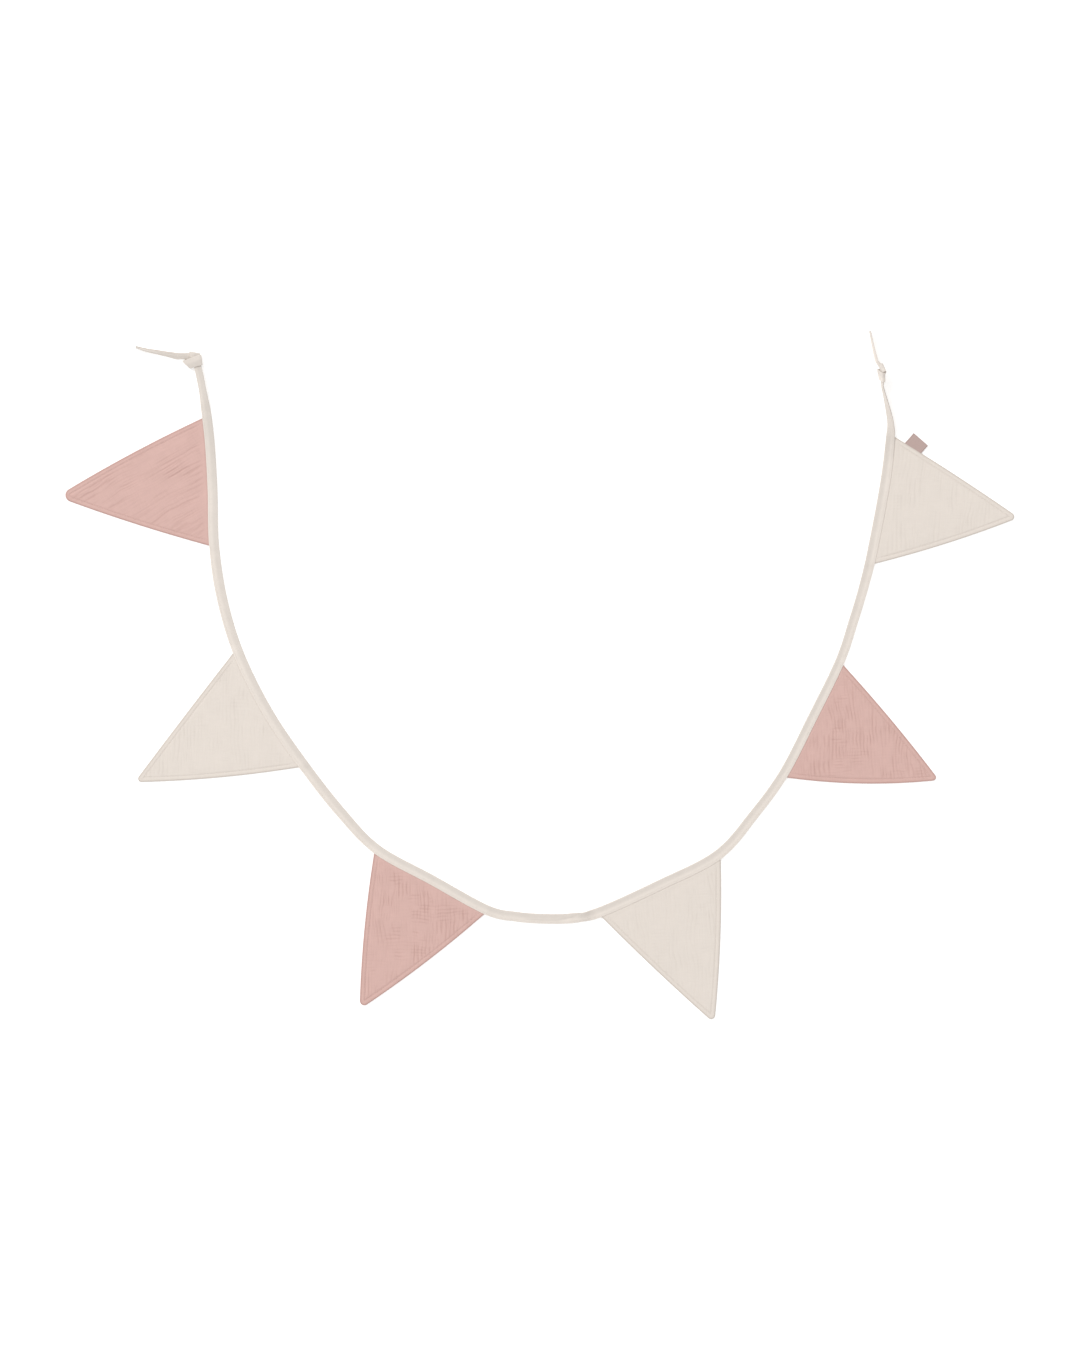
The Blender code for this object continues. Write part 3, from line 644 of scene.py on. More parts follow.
def tape_ring(i):
    """Outline of the tape at station i: how far across and how far up each of its points is."""
    width = np.linalg.norm(open_line[i] - fold_line[i])
    squeeze = width / TAPE_WIDTH
    up = 0.5 * thickness[i]
    slot = SLIT_HALF + (0.5 * SEAM_THICK + 0.5 * GAP - SLIT_HALF) * held[i]
    edge = width - 0.5 * EDGE_PLY
    thin = (up - slot - EDGE_PLY) * ease((FACE_POINTS - TAPE_WIDTH + EDGE_SLOPE) / EDGE_SLOPE)
    face_across = FACE_POINTS * squeeze
    lively = CALM_IN_KNOTS if soft[i] else 1.0
    calm = 1.0 - CALM_UNDER_SEAM * held[i]
    top = up - thin + tape_face(FACE_POINTS, length_line[i], lively, TOP_SEED)
    under = up - thin + tape_face(FACE_POINTS, length_line[i], lively, UNDER_SEED) * calm
    angles = np.linspace(-0.5 * math.pi, 0.5 * math.pi, ROUND_STEPS + 1)
    round_across = edge + 0.5 * EDGE_PLY * np.cos(angles)
    round_up = 0.5 * EDGE_PLY * np.sin(angles)
    inner = np.linspace(edge, FOLD_WALL * squeeze, INNER_POINTS + 2)[1:-1]
    bend = np.linspace(0.5 * math.pi, 1.5 * math.pi, BEND_POINTS + 2)[1:-1]
    across = [face_across, round_across, inner, [FOLD_WALL * squeeze - slot], inner[::-1],
              round_across, face_across[::-1], FOLD_ROUND * (1.0 + np.cos(bend))]
    height = [-under, round_up - slot - 0.5 * EDGE_PLY, np.full(INNER_POINTS, -slot), [0.0],
              np.full(INNER_POINTS, slot), round_up + slot + 0.5 * EDGE_PLY, top[::-1],
              (up - HEM_RISE) * np.sin(bend)]
    return np.concatenate(across), np.concatenate(height)


def mesh_object(name, points, faces, cloth_u_v):
    """A smooth mesh object with a UV map, cloth, that holds places on the flat cloth in metres."""
    mesh = bpy.data.meshes.new(name)
    mesh.from_pydata(points.tolist(), [], faces)
    mesh.validate()
    layer = mesh.uv_layers.new(name="cloth")
    corners = np.empty(len(mesh.loops), np.int32)
    mesh.loops.foreach_get("vertex_index", corners)
    layer.data.foreach_set("uv", cloth_u_v[corners].astype(np.float32).ravel())
    mesh.shade_smooth()
    obj = bpy.data.objects.new(name, mesh)
    bpy.context.scene.collection.objects.link(obj)
    return obj


def tube_faces(rings, around, first=0):
    """Quads of a closed tube of rings, and its two end faces."""
    faces = []
    for r in range(rings - 1):
        a = first + r * around
        for k in range(around):
            n = (k + 1) % around
            faces.append((a + k, a + n, a + around + n, a + around + k))
    end = first + (rings - 1) * around
    faces.append(tuple(range(first + around - 1, first - 1, -1)))
    faces.append(tuple(range(end, end + around)))
    return faces


def remember_shade(obj, values):
    """Keep how shaded each point is, for the finish to read."""
    layer = obj.data.attributes.new("crease", "FLOAT", "POINT")
    layer.data.foreach_set("value", np.asarray(values, np.float32))


tape_points = []
tape_u_v = []
tape_shades = []
for i in range(len(stations)):
    ring_across, ring_up = tape_ring(i)
    squeeze = np.linalg.norm(open_line[i] - fold_line[i]) / TAPE_WIDTH
    tape_shades.append(tape_shade(ring_across / squeeze, length_line[i]))
    direction = unit(open_line[i] - fold_line[i])
    points = fold_line[i] + np.outer(ring_across, direction) + np.outer(ring_up, face_line[i])
    tape_points.append(points)
    tape_u_v.append(np.stack((np.full(len(ring_across), length_line[i]), ring_across), axis=1))
around = len(tape_points[0])
tape_points = np.vstack(tape_points)
tape_points[:, 2] = np.maximum(tape_points[:, 2], 0.0)
tape = mesh_object("cotton_tape", tape_points, tube_faces(len(stations), around),
                   np.vstack(tape_u_v))
remember_shade(tape, np.concatenate(tape_shades))
print("tape:", len(tape.data.polygons), "faces round", around, "points a ring")

# %% [markdown]
# ## The plan of a pennant
#
# Each pennant is a soft triangle: its base lies in the tape and follows the tape's bend, its two
# free sides bow out slightly, and its tip is rounded where the seam was turned. Its mesh is a
# grid of rows from the tape to the tip, with columns crowded near the two free edges, where the
# turned seam needs them. The same few driving numbers give the outline that shapes the edges.

# %% Plan of a pennant
FIELD_COLUMNS = 168
SIDE_ROWS = 190
TIP_ROWS = 7
LAST_TIP_ROW = 0.08
HIDDEN_ROWS = 4
EDGE_COLUMNS = np.array((0.0, 0.06, 0.22, 0.5, 0.9, 1.5, 2.4, 3.4, 4.3, 5.0, 5.5, 5.9, 6.3, 6.8,
                         7.4, 8.2))
EDGE_SLANT = 1.12
EDGE_SHARE_AT_MOST = 0.40
SEAM_SHORT_OF_FOLD = 1.0 * MM
OUTLINE_POINTS = 90
TIP_ARC_POINTS = 9


def shares(width):
    """Columns across a row, as shares of its width: close at both edges, even between."""
    slant = EDGE_SLANT * MM
    squeeze = min(1.0, EDGE_SHARE_AT_MOST * width / (EDGE_COLUMNS[-1] * slant))
    edge = EDGE_COLUMNS * slant * squeeze / width
    field = np.linspace(edge[-1], 1.0 - edge[-1], FIELD_COLUMNS + 2)[1:-1]
    return np.concatenate((edge, field, 1.0 - edge[::-1]))


class Plan:
    """Plan of one pennant, from its corners on the tape and its tip."""

    def __init__(self, row):
        self.row = row
        self.start = row.start * MM
        self.end = row.end * MM
        self.corner_a = self.on_tape(0.0, 0.5 * TAPE_WIDTH)
        self.corner_b = self.on_tape(1.0, 0.5 * TAPE_WIDTH)
        tip = np.array((row.tip_x, row.tip_y)) * MM
        radius = row.tip_round * MM
        apex = tip
        for _ in range(2):
            to_a = unit(self.corner_a - apex)
            to_b = unit(self.corner_b - apex)
            half_angle = 0.5 * math.acos(float(to_a @ to_b))
            inward = unit(to_a + to_b)
            apex = tip - inward * (radius / math.sin(half_angle) - radius)
        self.tip_out = -inward
        self.tip_side = unit(to_a - to_b)
        self.tip_radius = radius
        self.tip_centre = apex + inward * (radius / math.sin(half_angle))
        self.tip_spread = 0.5 * math.pi - half_angle
        self.end_a = apex + to_a * (radius / math.tan(half_angle))
        self.end_b = apex + to_b * (radius / math.tan(half_angle))
        inside = (self.corner_a + self.corner_b + apex) / 3.0
        self.out_a = self.outward(self.corner_a, self.end_a, inside)
        self.out_b = self.outward(self.corner_b, self.end_b, inside)
        self.height = np.linalg.norm(0.5 * (self.corner_a + self.corner_b) - self.tip_centre)

    @staticmethod
    def outward(a, b, inside):
        """Direction square to the side from a to b, away from the inside."""
        line = unit(b - a)
        side = np.array((line[1], -line[0]))
        return side if side @ (inside - a) < 0 else -side

    def base_width(self):
        return float(np.linalg.norm(self.corner_b - self.corner_a))

    def on_tape(self, share, offset):
        """Points that lie a share of the way along the base, offset from the tape's route."""
        here, _, right = run.at(self.start + (self.end - self.start) * np.asarray(share))
        return here + right * offset

    def sides(self, h):
        """Points on the two free edges at h, from 0 at the tape to 1 at the tip's round."""
        h = np.asarray(h, float)[..., None]
        swell = 4.0 * h * (1.0 - h) * MM
        a = self.corner_a + (self.end_a - self.corner_a) * h + self.out_a * self.row.bow_start * swell
        b = self.corner_b + (self.end_b - self.corner_b) * h + self.out_b * self.row.bow_end * swell
        return a, b

    def tip_arc(self, spread):
        """The two points of the round tip at an angle either side of its middle."""
        out = self.tip_out * math.cos(spread) * self.tip_radius
        side = self.tip_side * math.sin(spread) * self.tip_radius
        return self.tip_centre + out + side, self.tip_centre + out - side

    def outline(self):
        """The free edge as one line: down one side, round the tip and up the other."""
        a, b = self.sides(np.linspace(0.0, 1.0, OUTLINE_POINTS))
        spreads = np.linspace(self.tip_spread, 0.0, TIP_ARC_POINTS)[1:]
        arc = [self.tip_arc(spread) for spread in spreads]
        there = np.array([p for p, _ in arc])
        back = np.array([q for _, q in arc[:-1]])[::-1]
        return np.vstack((a, there, back, b[::-1]))

    def grid(self):
        """Rows of plan points, and for each row how far it is out from the tape."""
        rows = []
        from_tape = []
        base = shares(self.base_width())
        hidden = -0.5 * TAPE_WIDTH + FOLD_WALL + SEAM_SHORT_OF_FOLD
        for offset in np.linspace(hidden, 0.5 * TAPE_WIDTH, HIDDEN_ROWS + 1)[:-1]:
            rows.append(self.on_tape(base, offset))
            from_tape.append(0.0)
        for h in np.linspace(0.0, 1.0, SIDE_ROWS):
            a, b = self.sides(h)
            share = shares(np.linalg.norm(b - a))
            curved = self.on_tape(share, 0.5 * TAPE_WIDTH)
            straight = self.corner_a + np.outer(share, self.corner_b - self.corner_a)
            row = a + np.outer(share, b - a) + (curved - straight) * (1.0 - h) ** 2
            rows.append(row)
            from_tape.append(h * self.height)
        for part in np.linspace(1.0, LAST_TIP_ROW, TIP_ROWS)[1:]:
            a, b = self.tip_arc(self.tip_spread * part)
            rows.append(a + np.outer(shares(np.linalg.norm(b - a)), b - a))
            from_tape.append(self.height)
        return np.array(rows), np.array(from_tape)

    def area(self):
        """Area inside the outline, by the shoelace rule."""
        x, y = self.outline().T
        return 0.5 * abs(float(x @ np.roll(y, -1) - y @ np.roll(x, -1)))


plans = [Plan(row) for row in PENNANTS]
for plan in plans:
    print("pennant", plan.row.number, "base", round(plan.base_width() / MM), "mm, depth",
          round((plan.height + plan.tip_radius) / MM), "mm")

# %% [markdown]
# ## Creases of double gauze
#
# Double gauze is two thin cottons tied together here and there. It dries with fine creases side by
# side along the warp, each a few centimetres long, with short ones across in patches. They are a
# wave whose place wanders and whose strength comes and goes along each crease. Noise alone would
# give blobs and rings, and cloth simulation can't give creases this fine. The pennants were cut
# out of the cloth one by one, so each has a direction, a spacing and a strength of its own. The
# named lengths of this cell and the next are in millimetres.

# %% Creases over a pennant
Cloth = namedtuple("Cloth", "warp_deg crease_pitch crease_long weft strength seed")
CLOTHS = {
    1: Cloth(29.0, 6.8, 30.0, 0.15, 0.9, 3),
    2: Cloth(88.0, 5.6, 18.0, 0.5, 0.42, 8),
    3: Cloth(90.0, 5.4, 17.0, 0.9, 0.9, 15),
    4: Cloth(93.0, 5.6, 18.0, 0.4, 0.45, 21),
    5: Cloth(93.0, 5.0, 18.0, 0.7, 0.9, 27),
    6: Cloth(87.0, 5.6, 20.0, 0.4, 0.42, 34),
}

Wander = namedtuple("Wander", "amount along across")
DRIFT = Wander(7.0, 46.0, 30.0)
WAVER = Wander(1.6, 11.0, 9.0)
CREASE_CONTRAST = 2.5
CREASE_SPARING = 0.95
# The wave is raised to these powers for a crease's depth and for the painted shade in its valley.
DEPTH_POWER = 1.5
DARK_POWER = 3

FINE_PITCH = 3.7
FINE_LENGTH_SHARE = 0.6
WEFT_PITCH = 4.6
WEFT_LONG = 12.0
Patches = namedtuple("Patches", "size start over")
CREASED_PATCHES = Patches(31.0, 0.22, 0.5)
WEFT_PATCHES = Patches(27.0, 0.56, 0.2)
LEAST_CREASED = 0.4

WARP_DEPTH = 0.30
FINE_DEPTH = 0.16
WEFT_DEPTH = 0.28
LUMP_HEIGHT = 0.10
LUMP_SIZE = 7.0
# Painted valley shade: shares for the fine and cross creases, and the sum counted as darkest.
FINE_DARK = 0.6
WEFT_DARK = 0.9
DARKEST = 1.3


def creases(u, v, pitch, long, seed):
    """Depth and painted shade, from 0 to 1, of creases that run along v, a pitch apart."""
    drift = DRIFT.amount * noise(v / DRIFT.along, u / DRIFT.across, seed)
    waver = WAVER.amount * noise(v / WAVER.along, u / WAVER.across, seed + 1)
    place = (u + (drift + waver)) / pitch
    wave = 0.5 - 0.5 * np.cos(2.0 * math.pi * place)
    strength = ease(CREASE_CONTRAST * noise(place, v / long, seed + 2) - CREASE_SPARING)
    return wave ** DEPTH_POWER * strength, wave ** DARK_POWER * strength


def patchy(patches, x, y, seed):
    """1 inside the patches of a cloth and 0 between them, with soft edges."""
    return ease((noise(x / patches.size, y / patches.size, seed) - patches.start) / patches.over)


def crinkle(points, cloth, seed):
    """Depth of all the creases in millimetres, and the painted shade of their valleys for the finish.
    """
    angle = math.radians(cloth.warp_deg)
    x, y = points.T / MM
    along = x * math.cos(angle) + y * math.sin(angle)
    across = -x * math.sin(angle) + y * math.cos(angle)
    fine_long = FINE_LENGTH_SHARE * cloth.crease_long
    warp, warp_dark = creases(across, along, cloth.crease_pitch, cloth.crease_long, seed)
    fine, fine_dark = creases(across, along, FINE_PITCH, fine_long, seed + 10)
    weft, weft_dark = creases(along, across, WEFT_PITCH, WEFT_LONG, seed + 20)
    warp_patch = LEAST_CREASED + (1.0 - LEAST_CREASED) * patchy(CREASED_PATCHES, x, y, seed + 8)
    weft_patch = cloth.weft * patchy(WEFT_PATCHES, x, y, seed + 9)
    lumps = noise(x / LUMP_SIZE, y / LUMP_SIZE, seed + 30) - 0.5
    depth = (WARP_DEPTH * warp + FINE_DEPTH * fine) * warp_patch
    depth = depth + WEFT_DEPTH * weft * weft_patch - LUMP_HEIGHT * lumps
    dark = (warp_dark + FINE_DARK * fine_dark) * warp_patch + WEFT_DARK * weft_dark * weft_patch
    return depth, np.clip(dark, 0.0, DARKEST) / DARKEST


decimetre = np.linspace(0.0, 0.1, 101)
cut_square = np.stack(np.meshgrid(decimetre, decimetre), axis=-1).reshape(-1, 2)
for number in (1, 2):
    depth, _ = crinkle(cut_square, CLOTHS[number], CLOTHS[number].seed)
    depth = depth * CLOTHS[number].strength
    print("cloth of pennant", number, "creases", round(float(depth.max()), 2), "mm deep")

# %% [markdown]
# ## Turned edges
#
# A pennant is sewn right sides together, turned and topstitched. So its edge is a full roll,
# then a flat band padded by the seam allowance, then the groove of the topstitching, then the
# soft field, where most of the creasing is. A Bevel modifier would round the edge but knows no
# stitching, so the heights are worked out from the distance to the free edge and the place on the
# cloth. They move the points of both faces. Beside the tape both faces close in on the thin seam.

# %% Heights of a pennant's two faces
RIM = 0.95
EDGE_ROLL = 1.1
EDGE_HEIGHTS = ((0.0, 1.9), (1.1, 1.92), (4.0, 2.02), (6.2, 1.98), (9.0, 2.1), (17.0, 2.3))
TOPSTITCH_IN = 6.2
TOPSTITCH_GROOVE = 0.42
TOPSTITCH_HALF = 0.8
GROOVE_UNDERNEATH = 0.30
FIELD_FADES_IN = 3.0
SEAM_PUCKER = 0.18
SEAM_PUCKER_PITCH = 3.7
SEAM_PUCKER_ACROSS = 14.0
SEAM_PUCKER_REACH = 3.4
GROOVE_IS_CALMER = 0.7

SWELL = 0.28
SWELL_SIZE = 52.0
SMALL_SWELL_SIZE = 24.0
SMALL_SWELL_SHARE = 0.5
SMALL_SWELL_SEED = 7
CREASED_ON_SEAM = 0.35
SEAM_CREASES_FROM = 0.8
SEAM_CREASES_FADE_IN = 2.0
CREASED_UNDERNEATH = 0.9

PUFF_FROM_TAPE = 12.0
PUFF_BESIDE_TAPE = 0.42
PUFF_FADES_IN = 0.8
PUFF_REACH = 4.0

# Painted shade in the crease valleys, along the rolled rim and in the topstitching groove.
CREASE_SHADE = 0.75
RIM_SHADE = 1.0
RIM_SHADE_REACH = 1.6
STITCH_SHADE = 0.30


def edge_distance(outline, points):
    """Distance in millimetres from each point to the free edge, and where along it that is."""
    best = np.full(len(points), np.inf)
    where = np.zeros(len(points))
    travelled = 0.0
    for p, q in zip(outline, outline[1:]):
        line = q - p
        long = np.linalg.norm(line)
        t = np.clip((points - p) @ line / long ** 2, 0.0, 1.0)
        away = np.linalg.norm(points - p - t[:, None] * line, axis=1)
        closer = away < best
        best[closer] = away[closer]
        where[closer] = (travelled + t * long)[closer]
        travelled += long
    return best / MM, where / MM


def swelling(x, y, seed):
    """Slow rise and fall of the field, in two sizes, about an average of 0."""
    large = noise(x / SWELL_SIZE, y / SWELL_SIZE, seed)
    small = noise(x / SMALL_SWELL_SIZE, y / SMALL_SWELL_SIZE, SMALL_SWELL_SEED)
    return large + SMALL_SWELL_SHARE * small - 0.5 * (1.0 + SMALL_SWELL_SHARE)


def pennant_heights(plan, points, from_tape):
    """Heights of the upper and lower faces in metres, and how shaded each point is."""
    cloth = CLOTHS[plan.row.number]
    distance, where = edge_distance(plan.outline(), points)
    out = from_tape / MM
    x, y = points.T / MM
    roll = np.sqrt(1.0 - (1.0 - np.clip(distance / EDGE_ROLL, 0.0, 1.0)) ** 2)
    field = ease((distance - TOPSTITCH_IN) / FIELD_FADES_IN)
    groove = np.exp(-((distance - TOPSTITCH_IN) / TOPSTITCH_HALF) ** 2)
    depth, creased = crinkle(points, cloth, cloth.seed)
    depth_under, _ = crinkle(points, cloth, cloth.seed + 60)
    on_seam = ease((distance - SEAM_CREASES_FROM) / SEAM_CREASES_FADE_IN)
    amount = cloth.strength * (CREASED_ON_SEAM * on_seam + (1.0 - CREASED_ON_SEAM) * field)

    # Upper face: the roll, the padded band, its puckers and groove, then the field.
    pucker = noise(where / SEAM_PUCKER_PITCH, distance / SEAM_PUCKER_ACROSS, cloth.seed) - 0.5
    pucker = pucker * np.exp(-((distance - TOPSTITCH_IN) / SEAM_PUCKER_REACH) ** 2)
    pucker = pucker * (1.0 - GROOVE_IS_CALMER * groove)
    top = RIM + (np.interp(distance, *zip(*EDGE_HEIGHTS)) - RIM) * roll
    top = top - TOPSTITCH_GROOVE * groove + 2.0 * SEAM_PUCKER * pucker * roll
    top = top + 2.0 * SWELL * swelling(x, y, cloth.seed + 40) * field - depth * amount

    # Lower face: it lies on the table, but for the roll, the groove and its own creases.
    under = RIM * (1.0 - roll) + GROOVE_UNDERNEATH * groove
    under = under + CREASED_UNDERNEATH * np.maximum(depth_under, 0.0) * amount

    # Beside the tape both faces are pressed to the seam, half the tape's height up.
    rise = ease(out / PUFF_FROM_TAPE)
    middle = 0.5 * TAPE_THICK_OVER_SEAM / MM
    seam_top = middle + 0.5 * SEAM_THICK / MM * roll
    seam_under = middle - 0.5 * SEAM_THICK / MM * roll
    top = seam_top + (top - seam_top) * rise
    under = seam_under + (under - seam_under) * rise
    beside = ease(out / PUFF_FADES_IN) * np.exp(-(out / PUFF_REACH) ** 2)
    top = top + PUFF_BESIDE_TAPE * beside * field

    # Painted shade: darker in the crease valleys, in the topstitching groove and along the rolled
    # rim.
    shade = CREASE_SHADE * creased * amount * rise + STITCH_SHADE * groove * rise
    shade = shade + RIM_SHADE * np.exp(-(distance / RIM_SHADE_REACH) ** 2)
    return top * MM, under * MM, np.clip(shade, 0.0, 1.0)


two_cm_inside = plans[2].outline()[40:41] + (0.02, 0.004)
demo_top, _, _ = pennant_heights(plans[2], two_cm_inside, np.array([0.06]))
print("a point 2 cm inside pennant 3 is", round(float(demo_top[0] / MM), 2), "mm high")

# %% [markdown]
# ## Sew the two faces together
#
# The upper and the lower face share the points of the free edge, so the pennant is one closed
# piece, as it is once it has been turned. A Solidify modifier would give the lower face the shape
# of the upper one, but here it lies flat, so it takes every second row and field column only.
# Where a large face meets the fine edge it simply has more corners. How shaded each point is goes
# into the mesh as an attribute, which the finish reads to paint shade into the crease valleys, the
# topstitching groove and the rolled rim.

# %% Build the six pennants
def coarse(count, keep_all=0):
    """Every second number up to count - 1, and all of the first and last keep_all of them."""
    chosen = set(range(0, count, 2)) | set(range(keep_all)) | set(range(count - keep_all, count))
    return sorted(chosen | {count - 1})


def lower_faces(above, below):
    """Large faces of the lower side, with the fine points of the shared edge among their corners."""
    last_row, last_column = above.shape[0] - 1, above.shape[1] - 1
    rows = coarse(last_row + 1)
    columns = coarse(last_column + 1, len(EDGE_COLUMNS))
    faces = []
    for c0, c1 in zip(columns, columns[1:]):
        faces.append([*above[0, c1:c0:-1], above[0, c0], below[0, c0], below[0, c1]])
        for r0, r1 in zip(rows, rows[1:]):
            near = list(below[r0:r1 + 1, c0]) if c0 == 0 else [below[r0, c0], below[r1, c0]]
            far = below[r0:r1 + 1, c1] if c1 == last_column else below[[r0, r1], c1]
            tip = list(below[r1, c0 + 1:c1]) if r1 == last_row else []
            faces.append(near + tip + list(far[::-1]))
    return [tuple(int(v) for v in dict.fromkeys(face)) for face in faces]


def build_pennant(plan):
    """One closed mesh of a pennant: a fine upper face and a coarser lower one."""
    rows, from_tape = plan.grid()
    row_count, column_count = rows.shape[:2]
    flat_points = rows.reshape(-1, 2)
    out = np.repeat(from_tape, column_count)
    top, under, shade = pennant_heights(plan, flat_points, out)
    rim = np.zeros((row_count, column_count), bool)
    rim[:, [0, -1]] = True
    rim[-1] = True
    shared = rim.ravel()
    joined = 0.5 * (top + under)
    top[shared] = joined[shared]
    upper = np.column_stack((flat_points, top))
    above = np.arange(len(upper)).reshape(row_count, column_count)
    below = above.copy()
    kept = np.zeros((row_count, column_count), bool)
    kept[np.ix_(coarse(row_count), coarse(column_count, len(EDGE_COLUMNS)))] = True
    kept &= ~rim
    below[kept] = len(upper) + np.arange(kept.sum())
    kept = kept.ravel()
    lower = np.column_stack((flat_points, np.maximum(under, 0.0)))[kept]
    quads = np.stack((above[:-1, :-1], above[:-1, 1:], above[1:, 1:], above[1:, :-1]), axis=-1)
    faces = quads.reshape(-1, 4).tolist() + lower_faces(above, below)
    angle = math.radians(CLOTHS[plan.row.number].warp_deg)
    turn = np.array(((math.cos(angle), -math.sin(angle)), (math.sin(angle), math.cos(angle))))
    plan_u_v = np.vstack((flat_points, flat_points[kept])) @ turn
    name = f"muslin_pennant_{plan.row.number}"
    piece = mesh_object(name, np.vstack((upper, lower)), faces, plan_u_v)
    remember_shade(piece, np.concatenate((shade, shade[kept])))
    return piece


pennants = [build_pennant(plan) for plan in plans]
for piece in pennants:
    print(piece.name, len(piece.data.polygons), "faces")

# %% [markdown]
# ## Stitches
#
# Topstitching is a row of short thread lengths, each diving into the cloth at both ends. A dashed
# line in a texture would have no height, and particles would scatter, so each stitch is its own
# tiny tube, laid over the cloth's real height. Machine stitches look alike on both faces, so both
# get a row. The tape has one row too, close to its open edges, through plies and pennants alike.

# %% Thread laid stitch by stitch
THREAD_HALF = 0.25 * MM
TAPE_THREAD_HALF = 0.17 * MM
STITCH_PITCH = 3.6 * MM
STITCH_LENGTH = 2.9 * MM
THREAD_SIDES = 5
STITCH_RINGS = 4
STITCH_MARKS = STITCH_LENGTH * np.array((0.0, 0.22, 0.78, 1.0))
STITCH_LIFTS = np.array((-0.18, 0.16, 0.16, -0.18)) * MM
FLATTER_UNDERNEATH = 0.3
FLATTER_ON_TAPE = 0.5
FIRST_STITCH = 1.0 * MM
FIRST_ON_TAPE = 2.0 * MM
SIDE_SAMPLES = 400
UP = np.array((0.0, 0.0, 1.0))


def stitch_rings(path, ups, half):
    """Rings of one stitch: a short tube along a path whose face looks along ups."""
    ahead = unit(path[-1] - path[0])
    rings = []
    for place, up in zip(path, ups):
        side = np.cross(ahead, up)
        for k in range(THREAD_SIDES):
            turn = 2.0 * math.pi * k / THREAD_SIDES
            rings.append(place + half * (side * math.cos(turn) + up * math.sin(turn)))
    return rings


def thread_object(name, stitches, half):
    """One mesh of many stitches, each given as (path, ups), of a thread half that thick."""
    points = []
    faces = []
    for path, ups in stitches:
        faces += tube_faces(STITCH_RINGS, THREAD_SIDES, len(points))
        points += stitch_rings(path, ups, half)
    points = np.array(points)
    return mesh_object(name, points, faces, points[:, :2])


def topstitch(plan):
    """Stitches of one pennant, along both free sides to where the two rows meet."""
    stitches = []
    h = np.linspace(0.0, 1.0, SIDE_SAMPLES)
    side_a, side_b = plan.sides(h)
    for side, out, other in ((side_a, plan.out_a, side_b), (side_b, plan.out_b, side_a)):
        row = side - out * TOPSTITCH_IN * MM
        gap, _ = edge_distance(other, row)
        row = row[gap > TOPSTITCH_IN]
        row_h = h[gap > TOPSTITCH_IN]
        row_steps = np.linalg.norm(np.diff(row, axis=0), axis=1)
        travelled = np.concatenate(([0.0], np.cumsum(row_steps)))
        for begin in np.arange(FIRST_STITCH, travelled[-1] - STITCH_LENGTH, STITCH_PITCH):
            marks = begin + STITCH_MARKS
            x = np.interp(marks, travelled, row[:, 0])
            y = np.interp(marks, travelled, row[:, 1])
            out_from_tape = np.interp(marks, travelled, row_h) * plan.height
            top, under, _ = pennant_heights(plan, np.column_stack((x, y)), out_from_tape)
            low = np.maximum(under - FLATTER_UNDERNEATH * STITCH_LIFTS, THREAD_HALF)
            stitches.append((np.column_stack((x, y, top + STITCH_LIFTS)), [UP] * STITCH_RINGS))
            stitches.append((np.column_stack((x, y, low)), [-UP] * STITCH_RINGS))
    return stitches


def tape_stitches():
    """Stitches along the whole tape, on both of its faces."""
    stitches = []
    index = np.arange(len(length_line))
    across_share = 1.0 - STITCH_FROM_OPEN / TAPE_WIDTH
    last_begin = TAPE_LENGTH - FIRST_ON_TAPE - STITCH_LENGTH
    for begin in np.arange(FIRST_ON_TAPE, last_begin, STITCH_PITCH):
        marks = begin + STITCH_MARKS
        at = np.interp(marks, length_line, index)
        low = np.minimum(at.astype(int), len(index) - 2)
        t = (at - low)[:, None]
        fold = fold_line[low] * (1 - t) + fold_line[low + 1] * t
        free = open_line[low] * (1 - t) + open_line[low + 1] * t
        face = face_line[low] * (1 - t) + face_line[low + 1] * t
        up = 0.5 * (thickness[low] * (1 - t[:, 0]) + thickness[low + 1] * t[:, 0]) - STITCH_GROOVE
        middle = fold + (free - fold) * across_share
        for way in (1.0, -1.0):
            path = middle + face * (way * (up + FLATTER_ON_TAPE * STITCH_LIFTS))[:, None]
            path[:, 2] = np.maximum(path[:, 2], TAPE_THREAD_HALF)
            stitches.append((path, face * way))
    return stitches


topstitches = [thread_object(f"topstitch_{p.row.number}", topstitch(p), THREAD_HALF)
               for p in plans]
tape_thread = thread_object("tape_stitching", tape_stitches(), TAPE_THREAD_HALF)
print("stitch faces:", sum(len(o.data.polygons) for o in topstitches + [tape_thread]))

# %% [markdown]
# ## Side label
#
# A short woven ribbon is folded in half and its two ends are caught in the seam of the last
# pennant. Two flat planes would do from above, but it is built as one strip that goes out, turns
# round at the fold and comes back, closed all round, so that the loop at its outer end shows from
# the side. It bows up a little, and its two woven edges are firmer and darker than its middle.

# %% Fold the label
LABEL_LENGTH = 25.5 * MM
LABEL_STANDS_OUT = 15.2 * MM
LABEL_SEWN_IN = 5.0 * MM
LABEL_PLY = 0.3 * MM
LABEL_ALONG_SIDE = 28.0 * MM
LABEL_TILT = math.radians(-9.0)
LABEL_MIDDLE_HEIGHT = 1.15 * MM
LABEL_LOOP = 0.33 * MM
LABEL_COLUMNS = 41
LABEL_BOW = 0.35 * MM

# The path from one caught end to the other runs from 0 to 1, and the fold takes this part of it.
FOLD_BEGINS = 0.485
FOLD_ENDS = 0.515
ROWS_A_LAYER = 18
ROWS_ROUND_FOLD = 12
# Painted shade where the ribbon turns round at its fold, and how far along its path it reaches.
FOLD_SHADE = 0.8
FOLD_SHADE_REACH = 0.02

# Places across the ribbon run from -0.5 to 0.5.
THIN_FROM = 0.49
THIN_SHARE = 0.35
WOVEN_EDGE_FROM = 0.43
WOVEN_EDGE_OVER = 0.05

